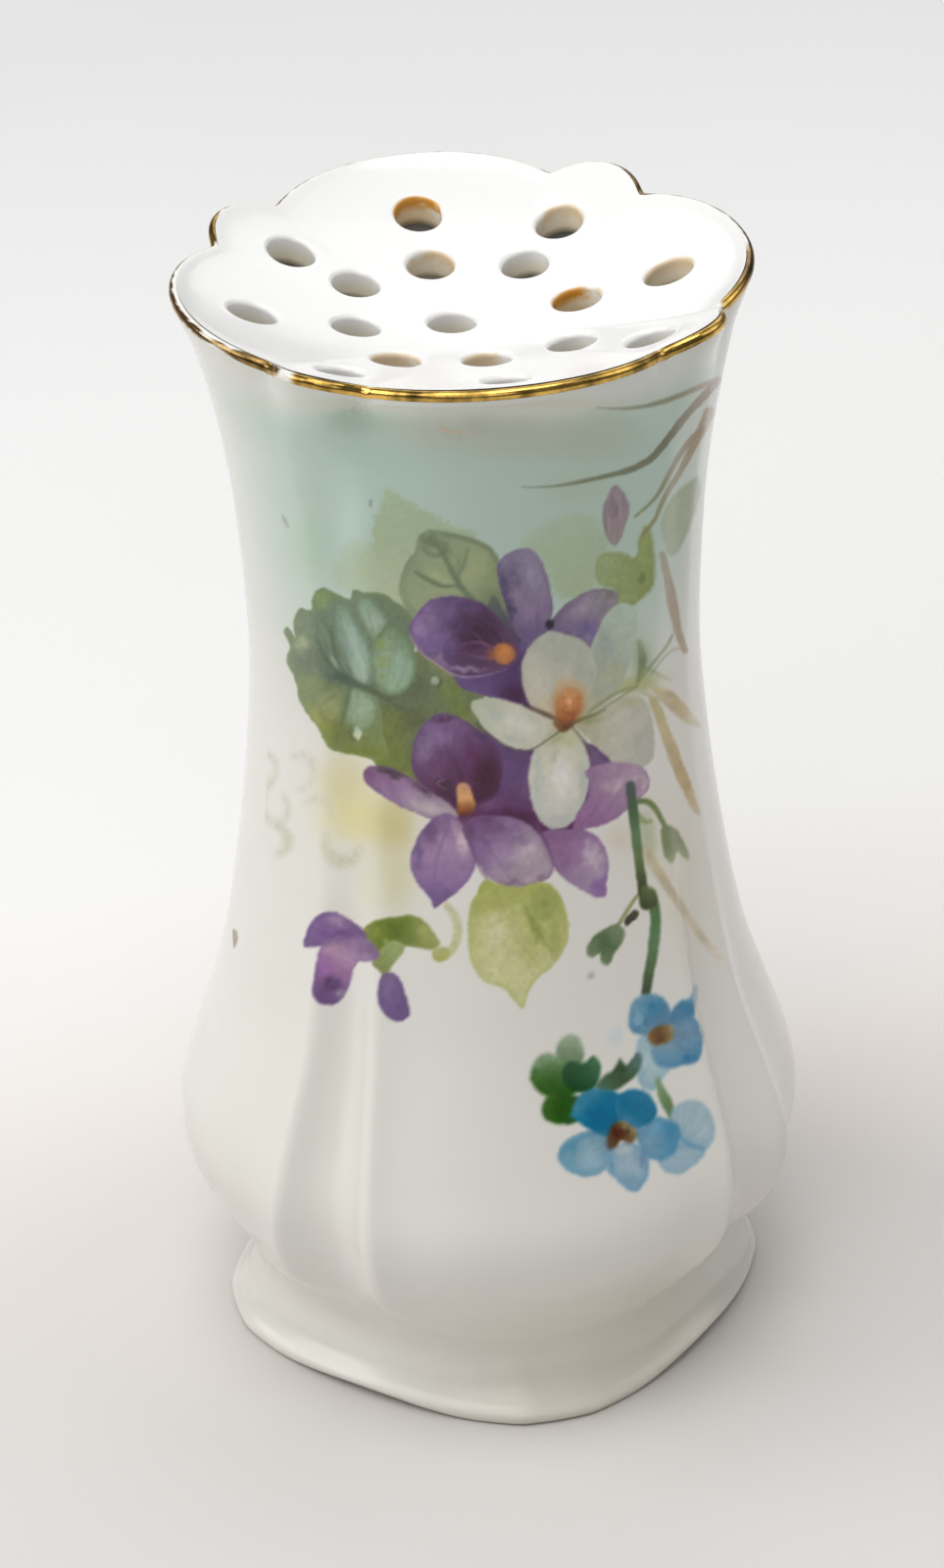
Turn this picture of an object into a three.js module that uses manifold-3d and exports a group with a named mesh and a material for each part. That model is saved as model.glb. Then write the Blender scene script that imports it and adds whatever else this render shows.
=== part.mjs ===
// Porcelain hatpin holder: a waisted body with eight hollow flutes, a scalloped
// gilt rim, a dished top pierced with seventeen pin holes and a recessed floor.
// Millimetres, +Z up. The origin is on the table under the middle of the foot,
// and a wide flute faces the front (-Y).

import * as THREE from 'three';
import { mergeVertices } from 'three/addons/utils/BufferGeometryUtils.js';
import Module from 'manifold-3d';

// Driving sizes of the body, from the table up
const height = 120;              // to the tips of the rim's lobes
const footEdgeRadius = 28.4;     // at the table
const footRadius = 28.8;         // at the fullest part of the foot
const footRadiusHeight = 1.1;
const tuckRadius = 24.2;         // the hollow above the foot
const tuckHeight = 9.4;
const bulgeRadius = 33;          // the fullest part of the body
const bulgeHeight = 23.5;
const waistRadius = 22.9;
const waistHeight = 80;
const rimRadius = 29;            // at the tips of the rim's lobes
const wall = 2.6;

// How the body's side runs between those places: shares of the way up,
// then shares of the way from the first radius to the second
const footShares = [[0.14, 0.2], [0.53, 0.74], [0.78, 0.93]];
const undersideShares = [[0.18, 0.26], [0.41, 0.56], [0.61, 0.78], [0.78, 0.91], [0.91, 0.98]];
const bodyShares = [[0.06, 0.03], [0.17, 0.22], [0.36, 0.55], [0.59, 0.785], [0.805, 0.935]];
const neckShares = [[0.33, 0.08], [0.59, 0.255], [0.795, 0.555], [0.92, 0.83]];

// Flutes: four wide and four narrow ones, parted by raised edges
const quarters = 4;
const quarterTurn = 2 * Math.PI / quarters;
const narrowHalfAtFoot = THREE.MathUtils.degToRad(10.6);
const narrowHalfAtNeck = THREE.MathUtils.degToRad(7.4);
const narrowHalfAtRim = THREE.MathUtils.degToRad(11.9);
const neckStart = 50;            // height where a narrow flute is down to its neck width
const edgeProudLow = 1.4;        // raised edge, proud of the lower body
const edgeProudHigh = 0.4;       // and of the neck
const edgeReach = 2.2;           // how far its slopes run out
const edgeFadeStart = 34;        // height where the edge starts to soften
const edgeFadeEnd = 70;
const narrowFluteDepth = 1.1;
const panelBottom = 9.8;         // where a wide flute ends above the foot
const panelCornerRadius = 7;

// Scallops of the rim and the foot
const rimScallopDepth = 2.6;     // lobe tip to notch, across
const rimScallopDrop = 1.3;      // lobe tip to notch, down
const rimScallopStart = 104;     // height where the lobes begin to swell
const lobeFullness = 2.5;        // how square-shouldered a wide lobe is
const footScallopDepth = 2.4;
const footScallopHalf = THREE.MathUtils.degToRad(37);
const footScallopTop = 15;
const footLift = 0.8;            // gap under the foot between its resting lobes
const footLiftHalf = THREE.MathUtils.degToRad(24);
const footLiftTop = 4;           // height where the lift has died out

// Foot ring and floor, which is luted in from below against a step
const footRingWidth = 3;
const floorSeatHeight = 8;
const floorSeatWidth = 0.9;
const floorThickness = 2.6;
const luteGap = 0.15;            // between pieces that are luted together

// Pierced top
const lipWidth = 1.1;
const lipStand = 0.25;           // lip above the edge of the dish
const dishDepth = 6;             // lobe tips to the middle of the dish
const topThickness = 2.4;
const bevelHeight = 8;           // depth of the seat cut inside the mouth
const holeDiameter = 4.7;

// Where the pin holes were punched, by hand and so a little unevenly: each as a
// share of a turn from the front towards +X, then a share of the rim's radius
const middleHoleShares = [[0.726, 0.041]];
const innerHoleShares = [
  [0.997, 0.374], [0.109, 0.459], [0.248, 0.396], [0.381, 0.429],
  [0.509, 0.41], [0.621, 0.443], [0.747, 0.373], [0.876, 0.432],
];
const outerHoleShares = [
  [0.996, 0.701], [0.119, 0.751], [0.241, 0.712], [0.381, 0.676],
  [0.5, 0.692], [0.623, 0.705], [0.741, 0.721], [0.869, 0.724],
];

// Gilding on the lip
const giltThickness = 0.15;
const giltGap = 0.08;
const giltSkirt = 0.9;           // how far it runs down outside
const giltTop = 1;               // how far it runs in over the lip

// Fineness of the facets
const wideSteps = 12;
const narrowSteps = 5;
const footRows = 5;
const undersideRows = 8;
const bodyRows = 10;
const neckRows = 4;
const rimRows = 5;
const dishRings = 7;
const holeSides = 20;
const evenness = 0.45;           // 1 spaces the columns of a wide flute evenly
const cutOverrun = 3;            // how far a cutter passes the solid

const porcelain = () => new THREE.MeshStandardMaterial({
  color: 0xf3f0ea, roughness: 0.18, metalness: 0,
});
const bisque = () => new THREE.MeshStandardMaterial({
  color: 0xe4dccd, roughness: 0.7, metalness: 0,
});
const gilt = () => new THREE.MeshStandardMaterial({
  color: 0xb98a2e, roughness: 0.25, metalness: 1,
});

const { lerp, clamp, smoothstep } = THREE.MathUtils;

// A curve through [place, value] points that never overshoots them
function smoothThrough(points) {
  const count = points.length;
  const steepness = [];
  for (let i = 0; i < count - 1; i++) {
    const run = points[i + 1][0] - points[i][0];
    steepness.push((points[i + 1][1] - points[i][1]) / run);
  }
  const tangent = points.map((_, i) => {
    if (i === 0) return steepness[0];
    if (i === count - 1) return steepness[count - 2];
    const before = steepness[i - 1];
    const after = steepness[i];
    return before * after > 0 ? 2 * before * after / (before + after) : 0;
  });
  return (place) => {
    let i = 0;
    while (i < count - 2 && place > points[i + 1][0]) i++;
    const run = points[i + 1][0] - points[i][0];
    const t = clamp((place - points[i][0]) / run, 0, 1);
    const back = 1 - t;
    return points[i][1] * back * back * (1 + 2 * t)
      + points[i + 1][1] * t * t * (1 + 2 * back)
      + run * (tangent[i] * t * back * back - tangent[i + 1] * t * t * back);
  };
}

// Points between two places of the side, from a table of shares
function between(lowHeight, lowRadius, highHeight, highRadius, shares) {
  return shares.map(([up, across]) => [
    lerp(lowHeight, highHeight, up),
    lerp(lowRadius, highRadius, across),
  ]);
}

const sideRadius = smoothThrough([
  [0, footEdgeRadius],
  [footRadiusHeight, footRadius],
  ...between(footRadiusHeight, footRadius, tuckHeight, tuckRadius, footShares),
  [tuckHeight, tuckRadius],
  ...between(tuckHeight, tuckRadius, bulgeHeight, bulgeRadius, undersideShares),
  [bulgeHeight, bulgeRadius],
  ...between(bulgeHeight, bulgeRadius, waistHeight, waistRadius, bodyShares),
  [waistHeight, waistRadius],
  ...between(waistHeight, waistRadius, height, rimRadius, neckShares),
  [height, rimRadius],
]);

// The mouth is a bevel from the plain inside up to the lip, which seats the top
const bevelStart = height - bevelHeight;

// Half the angle that a narrow flute spans at a height
function narrowHalf(z) {
  const below = lerp(narrowHalfAtFoot, narrowHalfAtNeck, smoothstep(z, tuckHeight, neckStart));
  return lerp(below, narrowHalfAtRim, smoothstep(z, rimScallopStart, height));
}

// Angle from the middle of the nearest wide flute, 0 to an eighth of a turn
function fromWideMiddle(angle) {
  const turn = angle / quarterTurn;
  return Math.abs(turn - Math.round(turn)) * quarterTurn;
}

// 1 at the tip of a rim lobe, 0 in a notch
function lobe(angle) {
  const half = narrowHalf(height);
  const wideHalf = quarterTurn / 2 - half;
  const away = fromWideMiddle(angle);
  if (away <= wideHalf) return 1 - Math.pow(away / wideHalf, lobeFullness);
  const across = (quarterTurn / 2 - away) / half;
  return 1 - across * across;
}

// How far a point lies from the outline of its wide flute, on the surface
function fromPanelEdge(z, angle) {
  const wideHalf = quarterTurn / 2 - narrowHalf(z);
  const side = (wideHalf - fromWideMiddle(angle)) * sideRadius(z);
  const x = panelCornerRadius - side;
  const y = panelCornerRadius - (z - panelBottom);
  const outside = Math.hypot(Math.max(x, 0), Math.max(y, 0));
  return Math.abs(outside + Math.min(Math.max(x, y), 0) - panelCornerRadius);
}

// 1 in the middle of a gap between foot lobes, 0 beyond the given half angle
function betweenFootLobes(angle, halfAngle) {
  const away = (quarterTurn / 2 - fromWideMiddle(angle)) / halfAngle;
  return 1 - Math.min(away * away, 1);
}

// The body's plan without its fine edges, which the inside follows too
function plainRadius(z, angle) {
  const rimShare = clamp((z - rimScallopStart) / (height - rimScallopStart), 0, 1);
  const rimIn = rimScallopDepth * rimShare * rimShare * (1 - lobe(angle));
  const footShare = 1 - smoothstep(z, footRadiusHeight, footScallopTop);
  const footIn = footScallopDepth * footShare;
  return sideRadius(z) - rimIn - footIn * betweenFootLobes(angle, footScallopHalf);
}

function outerRadius(z, angle) {
  const soften = smoothstep(z, edgeFadeStart, edgeFadeEnd);
  const proud = lerp(edgeProudLow, edgeProudHigh, soften);
  const edgeEnd = 1 - smoothstep(z, rimScallopStart, height - giltSkirt);
  const edge = proud * edgeEnd * Math.exp(-fromPanelEdge(z, angle) / edgeReach);
  const away = quarterTurn / 2 - fromWideMiddle(angle);
  const across = Math.min(away / narrowHalf(z), 1);
  const fluteShare = smoothstep(z, tuckHeight, bulgeHeight) * edgeEnd
    * lerp(1, edgeProudHigh / edgeProudLow, soften);
  const flute = narrowFluteDepth * fluteShare * (1 - across * across);
  return plainRadius(z, angle) + edge - flute;
}

// The real height of a point whose height on a lobe would be z
function settle(z, angle) {
  const rimShare = clamp((z - rimScallopStart) / (height - rimScallopStart), 0, 1);
  const drop = rimScallopDrop * rimShare * rimShare * (1 - lobe(angle));
  const gap = betweenFootLobes(angle, footLiftHalf);
  const lift = footLift * gap * gap * clamp(1 - z / footLiftTop, 0, 1);
  return z - drop + lift;
}

// Columns of the body, as the flute's quarter and the place across it
const columns = [];
for (let quarter = 0; quarter < quarters; quarter++) {
  for (let i = 0; i < wideSteps; i++) {
    const even = i / wideSteps;
    const crowded = (1 - Math.cos(Math.PI * even)) / 2;
    columns.push({ quarter, wide: true, across: lerp(crowded, even, evenness) });
  }
  for (let i = 0; i < narrowSteps; i++) {
    columns.push({ quarter, wide: false, across: i / narrowSteps });
  }
}

// The angle of a column at a height, which keeps the raised edges on a column
function columnAngle({ quarter, wide, across }, z) {
  const narrow = narrowHalf(z);
  const wideHalf = quarterTurn / 2 - narrow;
  const middle = quarter * quarterTurn;
  if (wide) return middle + lerp(-wideHalf, wideHalf, across);
  return middle + wideHalf + 2 * narrow * across;
}

function point(radius, angle, z) {
  return [radius * Math.sin(angle), -radius * Math.cos(angle), z];
}

// Closes rings of points into one skin, each ring joined to the next, and the
// first and last either joined to each other or closed by a middle point each
function skin(rings, endPoints) {
  const around = rings[0].length;
  const positions = rings.flat(2);
  const index = [];
  const joinRings = (low, high) => {
    for (let i = 0; i < around; i++) {
      const next = (i + 1) % around;
      index.push(low * around + i, low * around + next, high * around + next);
      index.push(low * around + i, high * around + next, high * around + i);
    }
  };
  for (let ring = 0; ring < rings.length - 1; ring++) joinRings(ring, ring + 1);
  if (endPoints) {
    const first = positions.length / 3;
    positions.push(...endPoints[0], ...endPoints[1]);
    const top = (rings.length - 1) * around;
    for (let i = 0; i < around; i++) {
      const next = (i + 1) % around;
      index.push(first, next, i);
      index.push(first + 1, top + i, top + next);
    }
  } else {
    joinRings(rings.length - 1, 0);
  }
  const geometry = new THREE.BufferGeometry();
  geometry.setAttribute('position', new THREE.Float32BufferAttribute(positions, 3));
  geometry.setIndex(index);
  geometry.computeVertexNormals();
  return geometry;
}

function ring(z, pointAt) {
  return columns.map((column) => pointAt(columnAngle(column, z)));
}

function insideRadius(z, angle) {
  return plainRadius(z, angle) - wall;
}

function lipRadius(angle) {
  return outerRadius(height, angle) - lipWidth;
}

// Radius of the bevel at a depth under the lip
function bevelRadius(depth, angle) {
  const bevelDepth = settle(height, angle) - settle(bevelStart, angle);
  return lerp(lipRadius(angle), insideRadius(bevelStart, angle), depth / bevelDepth);
}

function floorSeatRadius(angle) {
  return insideRadius(floorSeatHeight, angle) + floorSeatWidth;
}

// Heights of the rows of facets, closer together where the side bends most
function rowHeights() {
  const heights = [0];
  const stretches = [
    [footRadiusHeight, 1],
    [tuckHeight, footRows],
    [bulgeHeight, undersideRows],
    [waistHeight, bodyRows],
    [rimScallopStart, neckRows],
    [height - giltSkirt, rimRows],
  ];
  for (const [end, rows] of stretches) {
    const start = heights[heights.length - 1];
    for (let row = 1; row <= rows; row++) heights.push(lerp(start, end, row / rows));
  }
  return heights;
}

function bodyWall() {
  const rings = [];
  const heights = rowHeights();
  for (const z of heights) {
    rings.push(ring(z, (angle) => point(outerRadius(z, angle), angle, settle(z, angle))));
  }
  rings.push(ring(height, (angle) => point(outerRadius(height, angle), angle, settle(height, angle))));
  for (const depth of [0, lipStand, lipStand + topThickness]) {
    rings.push(ring(height, (angle) => {
      return point(bevelRadius(depth, angle), angle, settle(height, angle) - depth);
    }));
  }
  const inner = heights.filter((z) => z > floorSeatHeight && z < bevelStart);
  for (const z of [bevelStart, ...inner.reverse(), floorSeatHeight]) {
    rings.push(ring(z, (angle) => point(insideRadius(z, angle), angle, settle(z, angle))));
  }
  for (const z of [floorSeatHeight, floorSeatHeight - floorThickness - 2 * luteGap]) {
    rings.push(ring(floorSeatHeight, (angle) => point(floorSeatRadius(angle), angle, z)));
  }
  rings.push(ring(0, (angle) => {
    return point(outerRadius(0, angle) - footRingWidth, angle, settle(0, angle));
  }));
  return skin(rings);
}

function baseFloor() {
  const high = floorSeatHeight - luteGap;
  const low = high - floorThickness;
  const rings = [low, high].map((z) => ring(floorSeatHeight, (angle) => {
    return point(floorSeatRadius(angle) - luteGap, angle, z);
  }));
  return skin(rings, [[0, 0, low], [0, 0, high]]);
}

// Height of the dish at a share of the way from its middle to its edge
function dishHeight(share, angle) {
  const middle = height - dishDepth;
  const edge = settle(height, angle) - lipStand;
  return lerp(middle, edge, share * share);
}

function dishEdge(angle, under) {
  return bevelRadius(lipStand + under, angle) - luteGap;
}

function toManifold(wasm, geometry) {
  const bare = geometry.clone();
  bare.deleteAttribute('normal');
  bare.deleteAttribute('uv');
  const merged = mergeVertices(bare);
  return new wasm.Manifold(new wasm.Mesh({
    numProp: 3,
    vertProperties: new Float32Array(merged.attributes.position.array),
    triVerts: new Uint32Array(merged.index.array),
  }));
}

function fromManifold(solid) {
  const mesh = solid.getMesh();
  const geometry = new THREE.BufferGeometry();
  geometry.setAttribute('position', new THREE.Float32BufferAttribute(mesh.vertProperties, 3));
  geometry.setIndex(new THREE.Uint32BufferAttribute(mesh.triVerts, 1));
  geometry.computeVertexNormals();
  return geometry;
}

function piercedTop(wasm) {
  const dish = [];
  for (let side = 0; side < 2; side++) {
    const under = side === 0 ? topThickness : 0;
    for (let step = 1; step <= dishRings; step++) {
      const share = (side === 0 ? step : dishRings + 1 - step) / dishRings;
      dish.push(ring(height, (angle) => {
        const radius = dishEdge(angle, under) * share;
        return point(radius, angle, dishHeight(share, angle) - under);
      }));
    }
  }
  const middle = height - dishDepth;
  const plate = skin(dish, [[0, 0, middle - topThickness], [0, 0, middle]]);
  let solid = toManifold(wasm, plate);
  const length = dishDepth + topThickness + 2 * cutOverrun;
  const depth = height - (dishDepth + topThickness) / 2;
  for (const [turn, out] of [...middleHoleShares, ...innerHoleShares, ...outerHoleShares]) {
    const cutter = new THREE.CylinderGeometry(holeDiameter / 2, holeDiameter / 2, length, holeSides);
    cutter.rotateX(Math.PI / 2);
    cutter.translate(...point(out * rimRadius, turn * 2 * Math.PI, depth));
    solid = solid.subtract(toManifold(wasm, cutter));
  }
  return fromManifold(solid);
}

function rimGilding() {
  const skirtTop = height - giltSkirt;
  const band = [
    [skirtTop, 0, giltGap, 0],
    [height, 0, giltGap, giltGap],
    [height, -giltTop, giltGap, giltGap],
    [height, -giltTop, giltGap, giltGap + giltThickness],
    [height, 0, giltGap + giltThickness, giltGap + giltThickness],
    [skirtTop, 0, giltGap + giltThickness, 0],
  ];
  const rings = band.map(([z, inward, out, up]) => ring(z, (angle) => {
    const radius = outerRadius(z, angle) + inward + out;
    return point(radius, angle, settle(z, angle) + up);
  }));
  return skin(rings.reverse());
}

const wasm = await Module();
wasm.setup();

const holder = new THREE.Group();

function add(name, geometry, material) {
  const mesh = new THREE.Mesh(geometry, material);
  mesh.name = name;
  holder.add(mesh);
}

add('body_wall', bodyWall(), porcelain());
add('base_floor', baseFloor(), bisque());
add('pierced_top', piercedTop(wasm), porcelain());
add('rim_gilding', rimGilding(), gilt());

export default holder;
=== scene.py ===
# Porcelain hatpin holder: glazed fluted wall, pierced dished top, worn gilt rim and
# a hand-coloured spray of violets and forget-me-nots. The shape is worked out in
# millimetres and written to the meshes in metres.
import math

import bpy
import numpy as np
from mathutils import Matrix, Vector
from mathutils.geometry import delaunay_2d_cdt


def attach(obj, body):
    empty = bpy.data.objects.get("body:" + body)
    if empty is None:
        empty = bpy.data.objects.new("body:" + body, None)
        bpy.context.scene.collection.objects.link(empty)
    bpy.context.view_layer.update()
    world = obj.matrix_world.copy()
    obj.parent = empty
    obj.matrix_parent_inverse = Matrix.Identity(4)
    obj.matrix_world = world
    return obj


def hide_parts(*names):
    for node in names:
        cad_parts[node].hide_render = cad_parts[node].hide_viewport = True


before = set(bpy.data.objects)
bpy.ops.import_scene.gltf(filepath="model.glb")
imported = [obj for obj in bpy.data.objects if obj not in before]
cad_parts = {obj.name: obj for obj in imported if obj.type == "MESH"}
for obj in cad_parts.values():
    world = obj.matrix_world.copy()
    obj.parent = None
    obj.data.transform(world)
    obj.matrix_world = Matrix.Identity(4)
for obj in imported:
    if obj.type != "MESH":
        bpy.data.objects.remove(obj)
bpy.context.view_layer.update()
MM = 0.001
TAU = 2 * math.pi
QUARTER = math.pi / 2

# Sizes, in mm
HEIGHT = 120.0
WALL = 2.6
LIP_WIDTH = 1.1
LIP = LIP_WIDTH / 2
LIP_START = -0.3         # where the rounded lip takes over, as an angle below level
LIP_STAND = 0.25         # how far the lip stands over the dish
BEVEL_START = 112.0
FLOOR_SEAT = 8.0
FLOOR_SEAT_WIDTH = 0.9
FLOOR_RECESS = 5.1
FOOT_ROUND = 0.5         # where the side meets the rounding under the foot
FOOT_SECTION = [(3.0, 0.6), (2.7, 0.15), (2.2, 0.0), (0.8, 0.0), (0.35, 0.08), (0.1, 0.24)]
DISH_DEPTH = 6.0
DISH_FILLET, DISH_FILLET_REACH = 0.22, 0.5
TOP_THICKNESS = 2.4
HOLE_RADIUS = 2.35
HOLE_ROUNDING = 0.55
COLLAR = 3.1             # the burr under a punched hole ends this far below the dish
RIM_RADIUS = 29.0
GILT_SKIRT = 0.9
GILT_THICK, GILT_SUNK, GILT_END = 0.035, 0.12, 2.3
PAINT_RADIUS = 25.0      # painting: mm across = this radius times the angle from the front

# Side of the body: height, radius
SIDE = [
    (0, 28.4), (1.1, 28.8), (2.3, 27.9), (5.5, 25.7), (7.6, 25.1), (9.4, 25.2),
    (11.9, 26.8), (15.2, 29.1), (18.0, 31.1), (20.4, 32.3), (22.2, 32.8), (23.5, 33.0),
    (26.9, 32.7), (33.1, 30.8), (43.8, 27.4), (56.8, 25.1), (69.0, 23.6), (80.0, 22.9),
    (93.2, 23.4), (103.6, 24.5), (111.8, 26.3), (116.8, 28.0), (120.0, 29.0),
]
TUCK, BULGE, WAIST = 9.4, 23.5, 80.0
SIDE_STEP = 0.1
SIDE_EASE, SIDE_EASE_IN, SIDE_EASE_OUT = 2.0, (2.0, 5.0), (112.0, 118.0)

# Flutes, their raised edges and the panels that they frame
NARROW_FOOT, NARROW_NECK, NARROW_RIM = math.radians(10.6), math.radians(7.4), math.radians(11.9)
NECK_START = 50.0
FLUTE_DEPTH = 1.1
EDGE_LOW, EDGE_HIGH, EDGE_REACH = 2.2, 0.3, 2.3
EDGE_ROUNDING = 0.8
EDGE_FOOT_SHARE, EDGE_FULL = 0.35, 18.0
FADE_START, FADE_END = 34.0, 70.0
CROWN, CROWN_POWER = 1.5, 3    # how far a wide flute swells between its edges
PANEL_BOTTOM, PANEL_CORNER = 9.8, 7.0
ACROSS_EASE, ACROSS_WEIGHTS = 0.5, (0.0625, 0.25, 0.375, 0.25, 0.0625)

# Lobes of the rim and of the foot
RIM_DEPTH, RIM_DROP, RIM_START, LOBE_FULLNESS = 2.6, 1.3, 104.0, 2.5
NOTCH_ROUNDING, NOTCH_SPAN = 0.35, (114.0, 119.5)    # the rim's notches are rounder lower down
FOOT_DEPTH, FOOT_HALF, FOOT_TOP, FOOT_SWELL = 2.1, math.radians(37), 15.0, 1.1
FOOT_LIFT, FOOT_LIFT_HALF, FOOT_LIFT_TOP = 1.0, math.radians(28), 4.0
NORMAL_STEP = 0.05

# Pin holes: share of a turn from the front, share of the rim radius
HOLES = [
    (0.726, 0.041),
    (0.997, 0.374), (0.109, 0.459), (0.248, 0.396), (0.381, 0.429),
    (0.509, 0.41), (0.621, 0.443), (0.747, 0.373), (0.876, 0.432),
    (0.996, 0.701), (0.119, 0.751), (0.241, 0.712), (0.381, 0.676),
    (0.5, 0.692), (0.623, 0.705), (0.741, 0.721), (0.869, 0.724),
]

# Meshes: how finely they are divided
WIDE_COLUMNS, NARROW_COLUMNS = 48, 16
LIP_ROWS, LIP_SHARES = 12, (0.12, 0.35, 0.6, 0.85)
HOLE_SIDES, MOUTH_STEPS, MOUTH_RINGS, MOUTH_CLEAR = 48, 7, (0, 0.35, 0.8), 1.1
HOLE_DEPTHS = ((0, 0.9), (0, 1.3), (0, 1.8), (0, 2.4), (0, COLLAR), (0.5, COLLAR))
DISH_GRID, DISH_SIDES, DISH_REACH, DISH_TUCK = 0.75, 360, 30, 0.3
EDGE_RINGS, EDGE_CLEAR, SLACK = (0.0, 0.25, 0.6), 0.25, 0.01
PATCH_STEP = 0.2
PATCH_PROUD, PATCH_SUNK = 0.03, 0.015
BORDER_STEPS = (0.2, 0.4, 0.6, 0.8)

# Painted stretches of the wall: left, right, bottom, top
PATCHES = {
    "painted_neck_left": (-40, -4, 86, 118.9),
    "painted_neck_right": (-4, 31, 86, 118.9),
    "painted_front_left": (-34, -4, 58, 86),
    "painted_front_right": (-4, 29, 58, 86),
    "painted_stem_left": (-28, -4, 46, 58),
    "painted_stem_right": (-4, 28, 28, 58),
    "painted_speck": (-40, -37, 45, 51),
}

# Glazes, as shares of full display value
WHITE_GLAZE = np.array([233, 231, 225]) / 255
# Whiter glaze: the dish painted lighter for the strong light on it; the lip's top, the inside and the holes
# use it too
LIT_WHITE_GLAZE = np.array([238, 238, 237]) / 255
# Painted shade and the table's reflected colour, for the front of the foot
FOOT_SHADE_GLAZE = np.array([228, 221, 206]) / 255
AQUA_GLAZE = np.array([188, 211, 198]) / 255
HOLE_SHADE = np.array([238, 229, 208]) / 255
STAIN = np.array([206, 142, 52]) / 255
BARE_CLAY = np.array([205, 196, 180]) / 255

# Rust round the holes: which way it faces at each hole, and for fainter rust the same. In mm
# down the hole, it comes in below the rim and pales lower down
STAINED = {3: 2.4, 13: 1.9}
TINGED, TINGE = {1: 2.0, 5: 0.4, 8: 1.9, 11: 1.4, 12: 1.0}, 0.35
HOLE_WARMS = (0.4, 2.6)
STAIN_TOP, STAIN_PALES, STAIN_PALER = (0.02, 0.3), (0.9, 1.8), 0.75
STAIN_FACING, STAIN_SPECKS, STAIN_SPAN = 0.55, 0.75, (0.5, 0.85)
SPECK_WAVES, SPECK_DOWN, SPECK_SHIFT = 1.6, 1.5, 5

# Where the gilding is kept, as degrees from the front and the share of its width
GILT_KEPT = [
    (-180, 0.4), (-150, 0.4), (-135, 0.4), (-131, 0.9), (-126, 0.9), (-121, 0.2), (-110, 0.35),
    (-82, 0.4), (-72, 0.25), (-66, 0.3), (-63, 1.0), (-53, 1.0), (-52, 0.0), (-48, 0.0),
    (-46.5, 1.0), (33, 1.1), (52, 1.1), (53.5, 0.05), (57, 0.05), (60, 0.7), (64, 1.0), (79, 1.0),
    (84, 0.45), (100, 0.4), (118, 0.4), (122, 0.9), (129, 0.9), (134, 0.4), (180, 0.4),
]
# How brown it is, as degrees and a share: bright only in front and on one lobe at the left
GILT_BROWN = [
    (-180, 1), (-138, 1), (-133, 0.1), (-121, 0.1), (-116, 1), (-62, 0.9), (-50, 0),
    (60, 0), (71, 1), (180, 1),
]

GILT_ROWS, GILT_NARROWS, GILT_SOFT = 5.0, 1.6, (0.02, 0.14)

# Textures in the materials: how fine the noise is, its detail, and the two values it runs between
GLAZE_TONE, GLAZE_POLISH = (60, 3.0, 0.965, 1.0), (150, 3.0, 0.13, 0.2)
BISQUE_POLISH, GILT_POLISH = (900, 3.0, 0.7, 0.9), (350, 3.0, 0.12, 0.3)
# The gold's colour is mottled darker and lighter: partly uneven gilding, partly painted dark reflections and
# glints
GILT_MOTTLE_AND_GLINTS, GILT_MOTTLE_AND_GLINTS_SPAN = (420, 5.0, 0.3, 1.15), (0.36, 0.62)
CLOTH_TONE, CLOTH_ROUGHNESS, CLOTH_SHINE = (12, 3.0, 0.985, 1.0), 0.8, 0.1
GLAZE_INDEX = 1.5

# Their bumps: how fine, its detail, how deep in metres, how strong
GLAZE_WAVE, BISQUE_GRIT = (180, 2.0, 0.0002, 0.25), (2500, 4.0, 0.0001, 0.4)
GILT_GRIT = (700, 3.0, 0.0001, 0.3)

# Bare clay runs between two colours, and so does the gold as it turns brown
BISQUE_GRAIN, BISQUE_COLOURS = (400, 5.0), ((0.52, 0.46, 0.37, 1), (0.68, 0.63, 0.54, 1))
GOLD, BROWN_GOLD = (0.80, 0.50, 0.12, 1), (0.40, 0.25, 0.10, 1)

# Cloth: share of the way from front to back, colour; warmer and darker in front and a little darker far
# behind, the darkening a painted shade where the lamps' light falls off
TABLE_CORNERS = [(-3, -2, 0), (3, -2, 0), (3, 4, 0), (-3, 4, 0)]    # in metres
CLOTH_SPAN = (-0.05, 0.4)
CLOTH_PAINTED_FALLOFF = [
    (0.03, (0.66, 0.642, 0.632, 1)), (0.18, (0.76, 0.72, 0.697, 1)), (0.31, (0.843, 0.838, 0.832, 1)),
    (0.6, (0.85, 0.85, 0.85, 1)), (0.92, (0.785, 0.785, 0.79, 1)),
]

# Lamps: degrees round from the front as photographed, degrees up, watts, colour. Each is a disk
# a metre wide, 1.3 m away
LAMP_DISTANCE, LAMP_SIZE, LAMP_AIM = 1.3, 1.0, Vector((0, 0, 0.06))
LAMPS = {
    "window": (-10, 35, 2.8, (1.0, 0.99, 0.97)),
    "high_window": (-35, 60, 4.5, (1.0, 0.99, 0.97)),
    "side": (-90, 35, 6.4, (1.0, 0.99, 0.97)),
    "right": (100, 40, 2.9, (1.0, 0.98, 0.95)),
    "ceiling": (0, 88, 7.7, (1.0, 1.0, 1.0)),
    "back": (180, 35, 2.4, (0.97, 0.99, 1.0)),
}
ROOM_COLOUR, ROOM_STRENGTH = (0.96, 0.98, 1.0, 1), 0.12


# Shape
def smooth(x, a, b):
    t = np.clip((x - a) / (b - a), 0, 1)
    return t * t * (3 - 2 * t)


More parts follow.
